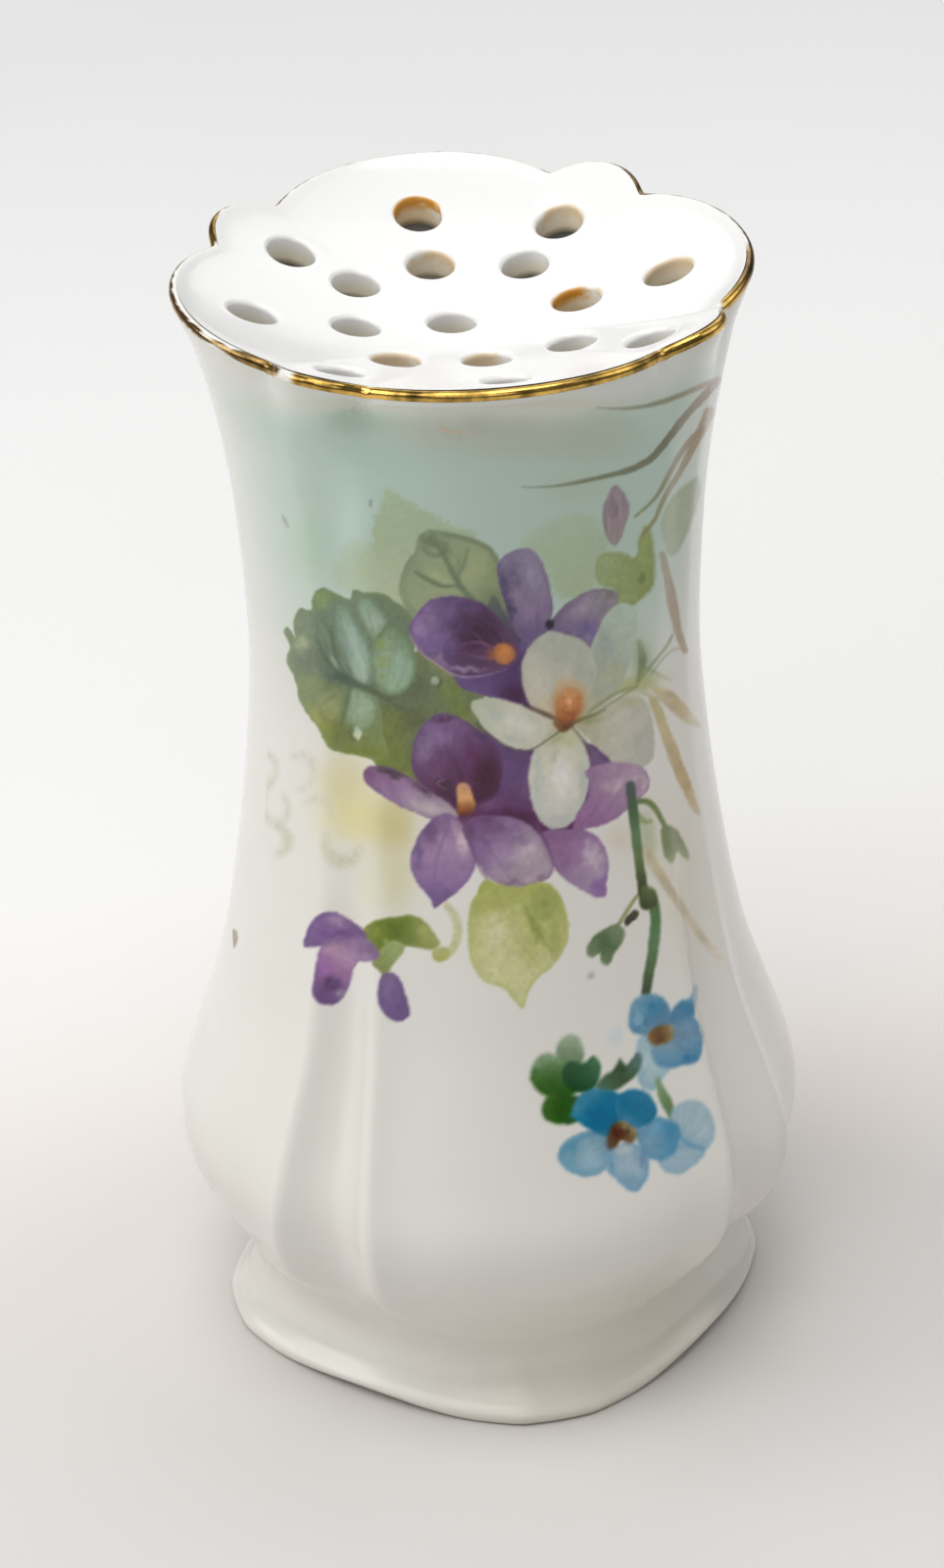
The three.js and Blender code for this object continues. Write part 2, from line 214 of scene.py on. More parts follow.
def make_side():
    """The side as an even table, with its bends eased over about two millimetres."""
    x, y = np.array(SIDE).T
    slope = np.diff(y) / np.diff(x)
    tangent = np.zeros(len(x))
    tangent[0], tangent[-1] = slope[0], slope[-1]
    for i in range(1, len(x) - 1):
        a, b = slope[i - 1], slope[i]
        tangent[i] = 2 * a * b / (a + b) if a * b > 0 else 0
    z = np.arange(0, HEIGHT + SIDE_STEP / 2, SIDE_STEP)
    i = np.clip(np.searchsorted(x, z, side="left") - 1, 0, len(x) - 2)
    run = x[i + 1] - x[i]
    t = np.clip((z - x[i]) / run, 0, 1)
    u = 1 - t
    r = y[i] * u * u * (1 + 2 * t) + y[i + 1] * t * t * (1 + 2 * u)
    r += run * (tangent[i] * t * u * u - tangent[i + 1] * t * t * u)
    spread = SIDE_EASE / SIDE_STEP
    pad = round(3 * spread)
    k = np.exp(-0.5 * (np.arange(-pad, pad + 1) / spread) ** 2)
    eased = np.convolve(np.pad(r, pad, mode="edge"), k / k.sum(), mode="valid")
    keep = smooth(z, *SIDE_EASE_IN) * (1 - smooth(z, *SIDE_EASE_OUT))
    return z, r * (1 - keep) + eased * keep


SIDE_Z, SIDE_R = make_side()


def side(z):
    return np.interp(z, SIDE_Z, SIDE_R)


def narrow_half(z):
    """Half the angle that a narrow flute takes."""
    low = NARROW_FOOT + (NARROW_NECK - NARROW_FOOT) * smooth(z, TUCK, NECK_START)
    return low + (NARROW_RIM - low) * smooth(z, RIM_START, HEIGHT)


def from_middle(a):
    """The angle from the middle of the nearest wide flute."""
    turn = a / QUARTER
    return np.abs(turn - np.round(turn)) * QUARTER


def lobe(a):
    """1 in the middle of each lobe of the rim, 0 in the notches."""
    wide = QUARTER / 2 - NARROW_RIM
    away = from_middle(a)
    broad = 1 - np.minimum(away / wide, 1) ** LOBE_FULLNESS
    slim = 1 - ((QUARTER / 2 - away) / NARROW_RIM) ** 2
    return np.where(away <= wide, broad, slim)


def from_edge(z, a):
    """Distance from the raised edge, which rounds the lower corners of each panel."""
    wide = QUARTER / 2 - narrow_half(z)
    x = PANEL_CORNER - (wide - from_middle(a)) * side(z)
    y = PANEL_CORNER - (z - PANEL_BOTTOM)
    out = np.hypot(np.maximum(x, 0), np.maximum(y, 0)) + np.minimum(np.maximum(x, y), 0)
    return np.abs(out - PANEL_CORNER)


def gap_between_lobes(a, half):
    away = (QUARTER / 2 - from_middle(a)) / half
    return 1 - np.minimum(away * away, 1)


def rim_share(z):
    return np.clip((z - RIM_START) / (HEIGHT - RIM_START), 0, 1) ** 2


def plain(z, a):
    """The wall with its lobes but without its flutes."""
    foot = 1 - smooth(z, FOOT_SWELL, FOOT_TOP)
    ease = NOTCH_ROUNDING * (1 - smooth(z, *NOTCH_SPAN))
    lobes = np.sqrt(lobe(a) ** 2 + ease * ease) - ease
    return (side(z) - RIM_DEPTH * rim_share(z) * (1 - lobes)
            - FOOT_DEPTH * foot * gap_between_lobes(a, FOOT_HALF))


def fluted(z, a):
    soft = smooth(z, FADE_START, FADE_END)
    end = 1 - smooth(z, RIM_START, HEIGHT - GILT_SKIRT)
    risen = smooth(z, TUCK, BULGE) * end
    away = np.sqrt(from_edge(z, a) ** 2 + EDGE_ROUNDING ** 2) - EDGE_ROUNDING
    low = EDGE_LOW * (EDGE_FOOT_SHARE + (1 - EDGE_FOOT_SHARE) * smooth(z, TUCK, EDGE_FULL))
    edge = (low * (1 - soft) + EDGE_HIGH * soft) * end * np.exp(-away / EDGE_REACH)
    swell = np.minimum(from_middle(a) / (QUARTER / 2 - narrow_half(z)), 1) ** CROWN_POWER
    across = np.minimum((QUARTER / 2 - from_middle(a)) / narrow_half(z), 1)
    hollow = FLUTE_DEPTH * (1 + (EDGE_HIGH / EDGE_LOW - 1) * soft) * (1 - across * across)
    return plain(z, a) + edge - risen * (CROWN * (1 - soft) * swell + hollow)


def outer(z, a):
    """The fluted side with its bends eased across, over about a millimetre."""
    step = ACROSS_EASE / side(z)
    return sum(w * fluted(z, a + k * step) for k, w in enumerate(ACROSS_WEIGHTS, -2))


def settle(z, a):
    """The height of a place once the rim dips in its notches and the foot lifts in its gaps."""
    gap = gap_between_lobes(a, FOOT_LIFT_HALF)
    lift = FOOT_LIFT * gap * gap * np.clip(1 - z / FOOT_LIFT_TOP, 0, 1)
    return z - RIM_DROP * rim_share(z) * (1 - lobe(a)) + lift


def place(r, a, z):
    return np.stack(np.broadcast_arrays(r * np.sin(a), -r * np.cos(a), z), -1)


def skin_point(z, a, out=0.0):
    return place(outer(z, a) + out, a, settle(z, a))


def skin_normal(z, a):
    e = NORMAL_STEP
    da = skin_point(z, a + e / PAINT_RADIUS) - skin_point(z, a - e / PAINT_RADIUS)
    dz = skin_point(z + e, a) - skin_point(z - e, a)
    n = np.cross(da, dz)
    return n / np.linalg.norm(n, axis=-1, keepdims=True)


# Noise, worked out on grids so that the painting can use it
LATTICE_SIDE = 256
LATTICE = np.random.default_rng(7).random((LATTICE_SIDE, LATTICE_SIDE))


def noise(x, y):
    xi, yi = np.floor(x).astype(int), np.floor(y).astype(int)
    fx, fy = smooth(x - xi, 0, 1), smooth(y - yi, 0, 1)
    left, right = xi % LATTICE_SIDE, (xi + 1) % LATTICE_SIDE
    top, bottom = yi % LATTICE_SIDE, (yi + 1) % LATTICE_SIDE
    upper = LATTICE[top, left] * (1 - fx) + LATTICE[top, right] * fx
    lower = LATTICE[bottom, left] * (1 - fx) + LATTICE[bottom, right] * fx
    return upper * (1 - fy) + lower * fy


def cloud(x, y, octaves=3):
    """Noise from 0 to 1, each octave twice as fine and half as strong."""
    total = sum(noise(x * 2 ** k + 17 * k, y * 2 ** k + 31 * k) / 2 ** k for k in range(octaves))
    return total / (2 - 2 / 2 ** octaves)


# How the painting wanders: waves per mm, how far either way, octaves
WANDER = {
    "neck": (0.25, 0.15, 3), "wash": (0.5, 0.15, 2), "grain": (4.5, 0.275, 3),
    "outline": (1.7, 0.12, 3), "rough": (4.5, 1, 2), "stops": (0.9, 0.09, 2), "drift": (1.2, 5, 3),
    "touch": (2, 0.4, 3), "streak": (1, 0.3, 3), "mottle": (2.2, 0.35, 4), "edge": (0.8, 0.4, 2),
    "width": (1.5, 0.15, 2), "line": (3, 0.075, 2), "gilt": (0.6, 0.25, 3),
}


def wander(kind, x, y, shift_x=0, shift_y=0):
    waves, far, octaves = WANDER[kind]
    return 2 * far * (cloud(x * waves + shift_x, y * waves + shift_y, octaves) - 0.5)


def linear(c):
    c = np.asarray(c, float)
    return np.where(c <= 0.04045, c / 12.92, ((c + 0.055) / 1.055) ** 2.4)


def display(c):
    return np.where(c <= 0.0031308, c * 12.92, 1.055 * np.maximum(c, 0) ** (1 / 2.4) - 0.055)


def mix(c, other, k):
    k = np.clip(k, 0, 1)[..., None]
    return c * (1 - k) + other * k


# Camera, fitted to the photograph
PHOTO_WIDE, PHOTO_HIGH = 963, 1600
LENS_PIXELS = 5344.26
CAMERA_PLACE = np.array([-100.16, -457.76, 333.115])
TURN = math.radians(12.342)
LOOK = (-0.00136493, 0.86504066, -0.50169991)
RIGHT = (0.99946289, -0.01524683, -0.02900803)
UP = (0.03274246, 0.50147003, 0.86455522)


def turned(v):
    x, y, z = v
    return np.array([x * math.cos(TURN) + y * math.sin(TURN),
                     -x * math.sin(TURN) + y * math.cos(TURN), z])


def seen_at(points):
    """Where points in mm show in the photograph, in pixels."""
    d = points - CAMERA_PLACE
    depth = d @ turned(LOOK)
    x = PHOTO_WIDE / 2 + LENS_PIXELS * (d @ turned(RIGHT)) / depth
    y = PHOTO_HIGH / 2 - LENS_PIXELS * (d @ turned(UP)) / depth
    return x, y


# Painting. Its forms are placed where they show in the photograph, in pixels, and
# their colours are written as they look there. The light that fell on that place
# is divided out of them.
PIXELS_PER_MM = 9.0
LIGHT_ACROSS = [(280, 0.96), (320, 0.93), (360, 0.85), (400, 0.79), (440, 0.76), (480, 0.71),
                (520, 0.68), (560, 0.64), (600, 0.61), (640, 0.59), (680, 0.59), (720, 0.63)]
LIGHT_DOWN = [(400, 0.85), (650, 0.93), (850, 1.0), (1200, 1.1)]
BRIGHTEST_PAINT = 0.86
GLOSS = 0.015            # what the gloss adds to every colour
SPOT_FALL = 1.6          # how steeply a spot fades from its middle
GRAIN_START, GRAIN_FULL, GRAIN_REACH = 0.22, 0.6, 2.2
FAN_START, FAN_LEAST, FAN_STREAKS, FAN_DRIFT, FAN_STRETCH = 0.35, 0.2, 9, 0.8, 0.5
OUTLINE_STEPS, LINE_STEPS = 6, 8
WASH_REACH, FORM_REACH = 2.2, 14
WASH_SEEDS, FORM_SEEDS, FIRST_FORM_SEED = 7.3, 5.7, 3
THINNEST_LINE = 0.06
EDGE_INSET = 0.4         # an edge is darkest this share of its width inside the outline

# Ground: where each tint comes in or goes out, in mm across and up, and its share elsewhere
AQUA_LEFT, AQUA_RIGHT, AQUA_TURNS = (-38, -18), (16, 24), (42, 74)
AQUA_RISES, AQUA_PALES, AQUA_PALER, AQUA_ROUND = (74, 98), (112, 117.5), 0.75, 0.2
# The foot's warmer, darker tint is painted shade and the table's reflected colour, strongest in front and
# fading at the lit left
FOOT_SHADE_LEFT, FOOT_SHADE_RIGHT, FOOT_SHADE_TOP, FOOT_SHADE_MOST = (-18, 4), (12, 30), (8, 24), 0.7


def pigment(seen, at):
    light = np.interp(at[0], *zip(*LIGHT_ACROSS)) * np.interp(at[1], *zip(*LIGHT_DOWN))
    c = np.maximum(linear(np.array(seen) / 255) - GLOSS, 0) / light
    return display(c * min(1, BRIGHTEST_PAINT / c.max()))


def bend(points, closed, steps):
    """A smooth line through the points."""
    p = np.array(points, float)
    count = len(p) if closed else len(p) - 1
    if closed:
        p = np.concatenate([p[-1:], p, p[:2]])
    else:
        p = np.concatenate([p[:1], p, p[-1:]])
    a, b, c, d = (p[k:k + count, None] for k in range(4))
    t = (np.arange(steps) / steps)[:, None]
    line = 0.5 * (2 * b + (c - a) * t + (2 * a - 5 * b + 4 * c - d) * t ** 2
                  + (3 * b - a - 3 * c + d) * t ** 3).reshape(-1, 2)
    return line if closed else np.concatenate([line, p[-1:]])


def reach(x, y, line, closed):
    """Distance from a line (negative inside a closed one) and the share of the way along it."""
    best = np.full(x.shape, np.inf)
    inside = np.zeros(x.shape, bool)
    along = np.zeros(x.shape)
    run = 0.0
    ends = np.roll(line, -1, 0) if closed else line[1:]
    for a, b in zip(line, ends):
        e = b - a
        length = math.hypot(*e) + 1e-9
        t = np.clip(((x - a[0]) * e[0] + (y - a[1]) * e[1]) / length ** 2, 0, 1)
        d = np.hypot(x - a[0] - t * e[0], y - a[1] - t * e[1])
        near = d < best
        best = np.where(near, d, best)
        along = np.where(near, run + t * length, along)
        run += length
        if closed:
            crossing = (a[1] > y) != (b[1] > y)
            inside ^= crossing & (x < (b[0] - a[0]) * (y - a[1]) / (e[1] + 1e-12) + a[0])
    return (np.where(inside, -best, best) if closed else best), along / run


def blob(x, y, spot, fall=1.3):
    cx, cy, rx, ry, turn = spot[:5]
    a = math.radians(turn)
    p = ((x - cx) * math.cos(a) + (y - cy) * math.sin(a)) / rx
    q = (-(x - cx) * math.sin(a) + (y - cy) * math.cos(a)) / ry
    return np.exp(-SPOT_FALL * (p * p + q * q) ** fall)


def ramp(stops, t, at):
    """Colours along a form. A stop is its place and colour, or a colour alone where all are even."""
    even = np.linspace(0, 1, len(stops))
    places = [s[0] if len(s) == 4 else k for s, k in zip(stops, even)]
    shades = np.array([pigment(s[-3:], at) for s in stops])
    return np.stack([np.interp(t, places, shades[:, k]) for k in range(3)], -1)


def ground(across, up):
    """White glaze: the neck is aqua, paler round the back and under the gold; the front of the foot is
    painted warmer and darker, as painted shade and the table's reflected colour.
    """
    front = smooth(across, *AQUA_LEFT) * (1 - (1 - AQUA_ROUND) * smooth(across, *AQUA_RIGHT))
    front = front * (1 - smooth(across, *AQUA_TURNS))
    aqua = (AQUA_ROUND + (1 - AQUA_ROUND) * front) * (1 + wander("neck", np.abs(across), up))
    aqua = aqua * smooth(up, *AQUA_RISES) * (1 - AQUA_PALER * smooth(up, *AQUA_PALES))
    foot_shade = FOOT_SHADE_MOST * smooth(across, *FOOT_SHADE_LEFT) * (1 - smooth(across, *FOOT_SHADE_RIGHT))
    foot_shade = foot_shade * (1 - smooth(up, *FOOT_SHADE_TOP))
    c = mix(np.broadcast_to(WHITE_GLAZE, across.shape + (3,)), AQUA_GLAZE, aqua)
    return mix(c, FOOT_SHADE_GLAZE, foot_shade)


def lay_wash(x, y, c, s, seed):
    """A soft breath of colour, which can break up into grains."""
    mx, my = x / PIXELS_PER_MM, y / PIXELS_PER_MM
    m = s["dense"] * blob(x, y, s["spot"], 1.0) * (1 + wander("wash", mx, my, seed))
    if s["grain"]:
        speckled = smooth(m + wander("grain", mx, my, seed), GRAIN_START, GRAIN_FULL)
        m = m * (1 - s["grain"]) + s["grain"] * speckled * np.minimum(m * GRAIN_REACH, 1)
    return mix(c, pigment(s["spot"][5], s["spot"]), m * s["spot"][6])


def lay_form(x, y, c, s, seed):
    """A leaf or petal: shaded along its axis, touched in, streaked, mottled and edged."""
    mx, my = x / PIXELS_PER_MM, y / PIXELS_PER_MM
    at = np.mean(s["points"], axis=0)
    gap = reach(x, y, bend(s["points"], True, OUTLINE_STEPS), True)[0] / PIXELS_PER_MM
    gap = gap + wander("outline", mx, my, seed, -seed) + s["rough"] * wander("rough", mx, my, seed)
    cover = smooth(-gap, -s["soft"], s["soft"]) * s["alpha"]
    (x0, y0), (x1, y1) = s["axis"]
    length = math.hypot(x1 - x0, y1 - y0)
    ex, ey = (x1 - x0) / length, (y1 - y0) / length
    t = ((x - x0) * ex + (y - y0) * ey) / length
    across = (-(x - x0) * ey + (y - y0) * ex) / PIXELS_PER_MM
    span = length / PIXELS_PER_MM
    col = ramp(s["stops"], np.clip(t + wander("stops", mx, my, seed), 0, 1), at)
    drift_x = x + wander("drift", mx, my, seed * 3, 5)
    drift_y = y + wander("drift", mx, my, 40, seed * 3)
    for spot in s["touches"]:
        m = blob(drift_x, drift_y, spot) * (1 + wander("touch", mx, my, seed * 3))
        col = mix(col, pigment(spot[5], spot), m * spot[6])
    fan = np.arctan2(across, np.maximum((t + FAN_START) * span, FAN_LEAST)) * FAN_STREAKS
    fan = fan + FAN_DRIFT * drift_x / PIXELS_PER_MM
    streaks = s["streak"] * wander("streak", fan, t * span * FAN_STRETCH, seed)
    col = col * ((1 + streaks) * (1 + s["mottle"] * wander("mottle", mx, my, seed)))[..., None]
    if s["edge"]:
        shade, width, amount = s["edge"]
        m = np.exp(-np.abs(gap + width * EDGE_INSET) / width) * amount
        col = mix(col, pigment(shade, at), m * (1 + wander("edge", mx, my, -seed)))
    return mix(c, col, cover)


def lay_stroke(x, y, c, s, seed):
    """A stroke whose width, in mm, and colour change along it."""
    mx, my = x / PIXELS_PER_MM, y / PIXELS_PER_MM
    gap, t = reach(x, y, bend(s["points"], False, LINE_STEPS), False)
    half = np.interp(t, np.linspace(0, 1, len(s["widths"])), s["widths"]) / 2
    half = half * (1 + wander("width", mx, my, seed))
    cover = smooth(half - gap / PIXELS_PER_MM, -s["soft"], s["soft"]) * s["alpha"]
    col = ramp(s["stops"], t, np.mean(s["points"], axis=0))
    col = col * (1 + wander("line", mx, my, seed))[..., None]
    return mix(c, col, cover * smooth(half, 0, THINNEST_LINE))


def on_part(x, y, c, low, high, s, seed):
    hit = (x >= low[0]) & (x <= high[0]) & (y >= low[1]) & (y <= high[1])
    rows, cols = np.where(hit.any(1))[0], np.where(hit.any(0))[0]
    if len(rows) and len(cols):
        part = (slice(rows[0], rows[-1] + 1), slice(cols[0], cols[-1] + 1))
        c[part] = s["lay"](x[part], y[part], c[part], s, seed)


def paint(across, up, points):
    """The colours of a stretch of the front, laid in order: ground, washes, leaves and flowers."""
    c = np.array(ground(across, up))
    x, y = seen_at(points)
    for i, s in enumerate(washes.values()):
        middle, far = np.array(s["spot"][:2]), WASH_REACH * max(s["spot"][2:4])
        on_part(x, y, c, middle - far, middle + far, s, i * WASH_SEEDS)
    for i, s in enumerate(forms.values()):
        p = np.array(s["points"])
        on_part(x, y, c, p.min(0) - FORM_REACH, p.max(0) + FORM_REACH, s, i * FORM_SEEDS + FIRST_FORM_SEED)
    return linear(c)


# Each form has its name, its points and, for a leaf or petal, its axis. Colours run along it.
# A touch is x, y, its two half widths, its turn in degrees, its colour and its strength; an edge
# is a colour, its width in mm and its strength.
washes, forms = {}, {}


def wash(name, spot, grain=0, dense=1):
    washes[name] = dict(lay=lay_wash, spot=spot, grain=grain, dense=dense)


def form(name, points, axis, stops, streak=0.25, mottle=0.12, edge=None, soft=0.11, touches=(),
         alpha=1, rough=0):
    forms[name] = dict(lay=lay_form, points=points, axis=axis, stops=stops, streak=streak,
                       mottle=mottle, edge=edge, soft=soft, touches=touches, alpha=alpha, rough=rough)


def stroke(name, points, widths, stops, soft=0.1, alpha=1):
    forms[name] = dict(lay=lay_stroke, points=points, widths=widths, stops=stops, soft=soft,
                       alpha=alpha)


# Washes
wash("lilac_band", (480,440,150,26,0,(152,157,146),.85), .1)
wash("lilac_low", (560,456,110,20,0,(147,154,143),.6), .1)
wash("teal_top", (362,432,46,20,4,(147,169,154),.95), .1)
wash("cream_edge", (470,411,190,8,0,(174,172,155),.85), .1)
wash("stipple", (362,420,32,11,6,(112,124,108),.75), 1, .34)
wash("fingerprints", (610,445,60,34,-10,(140,150,136),.5), .6)
wash("teal_left", (385,462,56,30,10,(152,176,163),.6), .1)
wash("cool_light", (362,532,20,40,6,(178,197,188),.9), .1)
wash("flute_green", (318,560,16,50,0,(174,198,174),.7), .1)
wash("right_field", (590,500,50,20,0,(143,155,139),.6), .3)
wash("pale_field", (632,655,30,50,10,(146,158,142),.75), .1)
wash("sprig_haze", (655,676,14,28,0,(118,130,104),.65), .3)
wash("sprig_yellow", (646,699,34,12,-12,(143,145,100),.9), .2)
wash("glow_left", (352,800,34,46,0,(207,200,160),.95), .15)
wash("glow_low", (372,835,52,34,0,(212,205,154),.95), .15)
wash("glow_core", (402,845,26,42,0,(192,182,134),.95), .2)
wash("glow_foot", (404,900,26,44,0,(200,196,162),.85), .2)
wash("glow_bud", (378,900,24,40,0,(212,209,184),.6), .1)
wash("glow_small", (350,940,30,30,0,(212,208,194),.4), .1)
wash("tan_right", (632,856,16,18,0,(180,168,148),.55), .1)
wash("cream_right", (692,896,34,100,-8,(183,176,160),.5), .1)
wash("stem_haze", (660,854,13,38,-4,(138,145,112),.6), .2)

# Faded flowers at the left
stroke("ghost_a", [(268,768),(262,778),(264,790),(273,797),(281,790),(280,777),(271,768)], (.59,1,.68,.59),
    [(196,196,176),(206,204,186),(198,198,178)], .6, .62)
stroke("ghost_b", [(276,800),(268,812),(267,826),(276,838),(288,838),(294,826),(290,812)], (.51,1,.85,.51),
    [(200,200,182),(208,206,190),(198,198,180)], .6, .62)
stroke("ghost_c", [(300,772),(310,770),(318,778),(320,790),(314,802),(304,806)], (.51,.94,.68,.51),
    [(202,203,186),(210,208,194)], .6, .62)
stroke("ghost_d", [(284,844),(292,852),(293,864),(285,871)], (.68,1.4,.85), [(190,190,168),(200,198,178)],
    .6, .62)
stroke("ghost_e", [(312,818),(324,815),(334,820),(337,830)], (.51,.85,.51), [(204,204,188),(208,206,190)],
    .6, .62)
stroke("ghost_f", [(332,852),(334,868),(344,878),(358,878),(366,866)], (.68,1.5,1.7,.85), [(204,201,182),
    (198,192,166),(202,198,176)], .6, .62)
stroke("body_speck", [(238,949),(240,957),(239,966)], (.25,.5,.2), [(124,108,88),(136,120,96)], .18, .9)

# Green haze round the leaves, stippled at its edges
form("haze_leaf", [(394,499),(413,510),(461,536),(487,548),(470,580),(440,620),(401,622),(376,600),
    (362,582),(366,566),(379,556),(381,534),(389,514)], ((396,505),(400,615)), [(0,152,171,141),
    (.35,151,167,136),(.7,156,168,138),(1,164,172,142)], 0, .1, None, .4, alpha=.92, rough=.55)
form("haze_low", [(352,558),(372,553),(392,580),(404,612),(392,622),(366,606),(346,600),(342,580)],
    ((350,560),(395,615)), [(166,184,160),(168,177,148)], 0, .08, None, .8, alpha=.75, rough=.5)
form("haze_right", [(533,556),(550,538),(572,527),(592,524),(612,534),(622,560),(612,596),(592,612),
    (568,606),(558,582),(544,566)], ((570,530),(590,605)), [(143,158,134),(139,153,124),(136,148,116)], 0,
    .1, None, .8, alpha=.72, rough=.6)
form("right_leaf_far", [(713,487),(704,491),(687,506),(677,523),(675,543),(681,564),(688,566),(699,549),
    (713,509)], ((704,492),(684,562)), [(0,128,137,116),(.6,134,143,122),(1,142,150,132)], .1, .1,
    ((124,134,112),.4,.5), .3)
form("lime", [(607,577),(613,566),(630,563),(648,568),(652,549),(660,536),(666,552),(668,590),(662,604),
    (650,615),(636,620),(628,616),(626,602),(611,596)], ((612,580),(664,590)), [(0,128,141,104),
    (.4,117,129,84),(1,113,124,74)], 0, .2, ((108,119,74),.4,.35), .28,
    touches=[(656,560,6,20,0,(124,135,76),.7), (640,610,14,8,0,(124,137,96),.6)], rough=.15)

# Upper leaf
form("leaf_top", [(427,547),(436,541),(450,541),(487,551),(501,559),(509,570),(512,592),(528,628),(532,642),
    (500,645),(460,640),(427,634),(411,617),(407,597),(413,577),(423,562)], ((440,545),(500,640)),
    [(128,142,112),(137,147,114),(112,122,94)], .12, .07, ((98,114,88),.35,.4), .16,
    touches=[(425,585,12,28,10,(126,141,112),.6), (440,553,15,9,10,(97,111,86),.85),
    (453,560,8,14,-20,(102,116,90),.7),(447,588,17,6,30,(158,166,130),.75),
    (484,580,11,18,0,(141,148,112),.8),(501,580,6,18,0,(122,132,96),.6),(468,575,6,14,20,(112,126,96),.6),
    (500,612,16,14,30,(104,116,88),.7)])
stroke("vein_a", [(438,548),(450,562),(466,592),(480,610),(500,628)], (.4,.65,.8), [(98,114,90),
    (90,105,80)], .22, .85)
stroke("vein_b", [(424,584),(448,597),(462,598)], (.35,.55,.3), [(94,110,82),(94,110,84)], .22, .85)
stroke("vein_c", [(432,560),(440,566),(449,566),(455,560)], (.5,.6,.4), [(98,114,88),(94,110,84)], .25, .6)
stroke("vein_d", [(477,560),(474,574),(468,586),(466,598)], (.35,.5,.5), [(104,119,92),(96,111,84)], .25, .7)
stroke("vein_e", [(452,546),(466,548),(484,553),(498,561),(506,572)], (.4,.5,.4), [(100,115,90),
    (100,114,86)], .25, .6)
stroke("vein_e2", [(420,574),(413,592),(414,610),(424,626)], (.3,.5,.4), [(118,133,108),(116,130,106)], .3,
    .6)

# Left leaf cluster
form("leaf_dark", [(372,700),(400,690),(425,664),(440,672),(474,694),(492,704),(494,720),(497,742),
    (510,760),(480,790),(440,800),(410,800),(392,792),(380,776),(366,760),(360,730)], ((380,780),(450,690)),
    [(0,108,118,58),(.45,98,108,74),(1,104,114,84)], .1, .3, ((118,128,66),.5,.4), .14,
    touches=[(425,702,20,18,0,(90,98,78),.8), (405,712,22,9,10,(98,102,86),.7),
    (462,706,16,12,20,(106,118,64),.9),(470,725,16,14,30,(104,116,60),.9),(475,740,9,9,0,(124,136,70),.7),
    (420,733,18,13,0,(86,92,64),.85),(395,745,20,22,0,(110,118,60),.8),(400,772,20,14,0,(104,116,58),.8),
    (455,690,14,5,30,(132,136,104),.4)])
form("leaf_left", [(317,622),(319,608),(329,600),(342,605),(352,610),(358,611),(360,602),(372,604),
    (388,605),(402,613),(417,624),(424,640),(423,660),(423,680),(418,698),(405,708),(386,710),(390,730),
    (392,752),(398,772),(385,776),(365,771),(346,768),(334,762),(326,746),(314,729),(305,715),(303,700),
    (297,685),(292,672),(296,659),(290,645),(294,640),(301,650),(299,634),(306,621)], ((350,690),(330,770)),
    [(104,120,98),(118,130,86),(110,118,56)], .1, .25, ((126,142,92),.4,.45), .16,
    touches=[(330,612,15,12,0,(132,154,98),.9), (312,640,14,14,0,(118,134,108),.8),
    (309,657,9,12,0,(168,178,140),.8),(345,630,16,24,-20,(110,134,112),.7),
    (325,672,22,12,0,(98,114,90),.85),(345,690,20,11,10,(84,102,86),.95),(372,700,18,5,20,(86,102,80),.9),
    (400,620,18,10,40,(104,122,92),.8),(318,700,14,14,0,(128,138,92),.85),
    (325,732,16,12,50,(152,152,82),.9),(335,748,16,12,50,(128,138,62),.9),(350,748,14,14,0,(108,118,66),.9),
    (374,768,24,7,0,(108,116,50),.95),(392,760,8,14,0,(122,132,76),.6),(390,722,8,16,0,(100,112,66),.7)])
form("leaf_lobe_a", [(322,632),(331,634),(339,646),(344,660),(350,674),(354,688),(346,690),(337,684),
    (330,670),(324,654)], ((352,688),(326,634)), [(0,150,166,142),(.3,112,130,108),(1,122,140,116)], .2, .2,
    ((88,106,86),.35,.6), .3, touches=[(340,676,4,11,-30,(160,174,150),.9)])
form("leaf_lobe_b", [(342,614),(352,616),(361,628),(376,658),(380,676),(379,692),(372,700),(362,694),
    (354,678),(341,642),(338,626)], ((374,698),(344,618)), [(0,148,168,148),(.4,138,160,146),
    (1,118,140,116)], .35, .15, ((92,112,92),.35,.6), .3, touches=[(362,650,8,22,-20,(148,168,154),.7),
    (354,686,4,12,-30,(96,116,98),.8),(368,680,6,16,-10,(152,172,152),.7)])
form("leaf_lobe_c", [(364,608),(376,610),(387,620),(394,634),(394,650),(388,660),(382,656),(366,626)],
    ((386,660),(368,612)), [(124,142,108),(146,166,148),(120,142,118)], .3, .15, ((92,110,84),.3,.5), .32)
form("leaf_lobe_d", [(388,644),(398,637),(410,644),(419,658),(424,674),(423,690),(415,703),(402,709),
    (390,704),(382,692),(379,674),(381,656)], ((394,704),(404,640)), [(138,160,134),(132,154,132),
    (112,132,100)], .25, .2, ((90,110,78),.35,.6), .26, touches=[(388,658,7,7,0,(136,150,92),.9),
    (391,674,9,6,0,(134,150,98),.9),(390,689,7,5,0,(130,148,100),.8),(410,684,10,16,0,(142,166,148),.7)])
form("leaf_lobe_e", [(356,704),(368,702),(378,708),(385,720),(385,734),(378,746),(366,750),(356,744),
    (352,728),(353,714)], ((360,704),(372,746)), [(132,154,130),(144,164,140),(122,138,98)], .3, .15,
    ((90,108,68),.35,.6), .26, touches=[(364,716,4,12,0,(112,134,110),.6)])
form("leaf_lobe_f", [(332,702),(344,700),(351,708),(351,722),(344,734),(334,738),(326,730),(325,714)],
    ((350,702),(330,734)), [(0,112,128,92),(.6,142,150,104),(1,140,146,86)], .3, .2, ((104,116,70),.3,.4),
    .24)
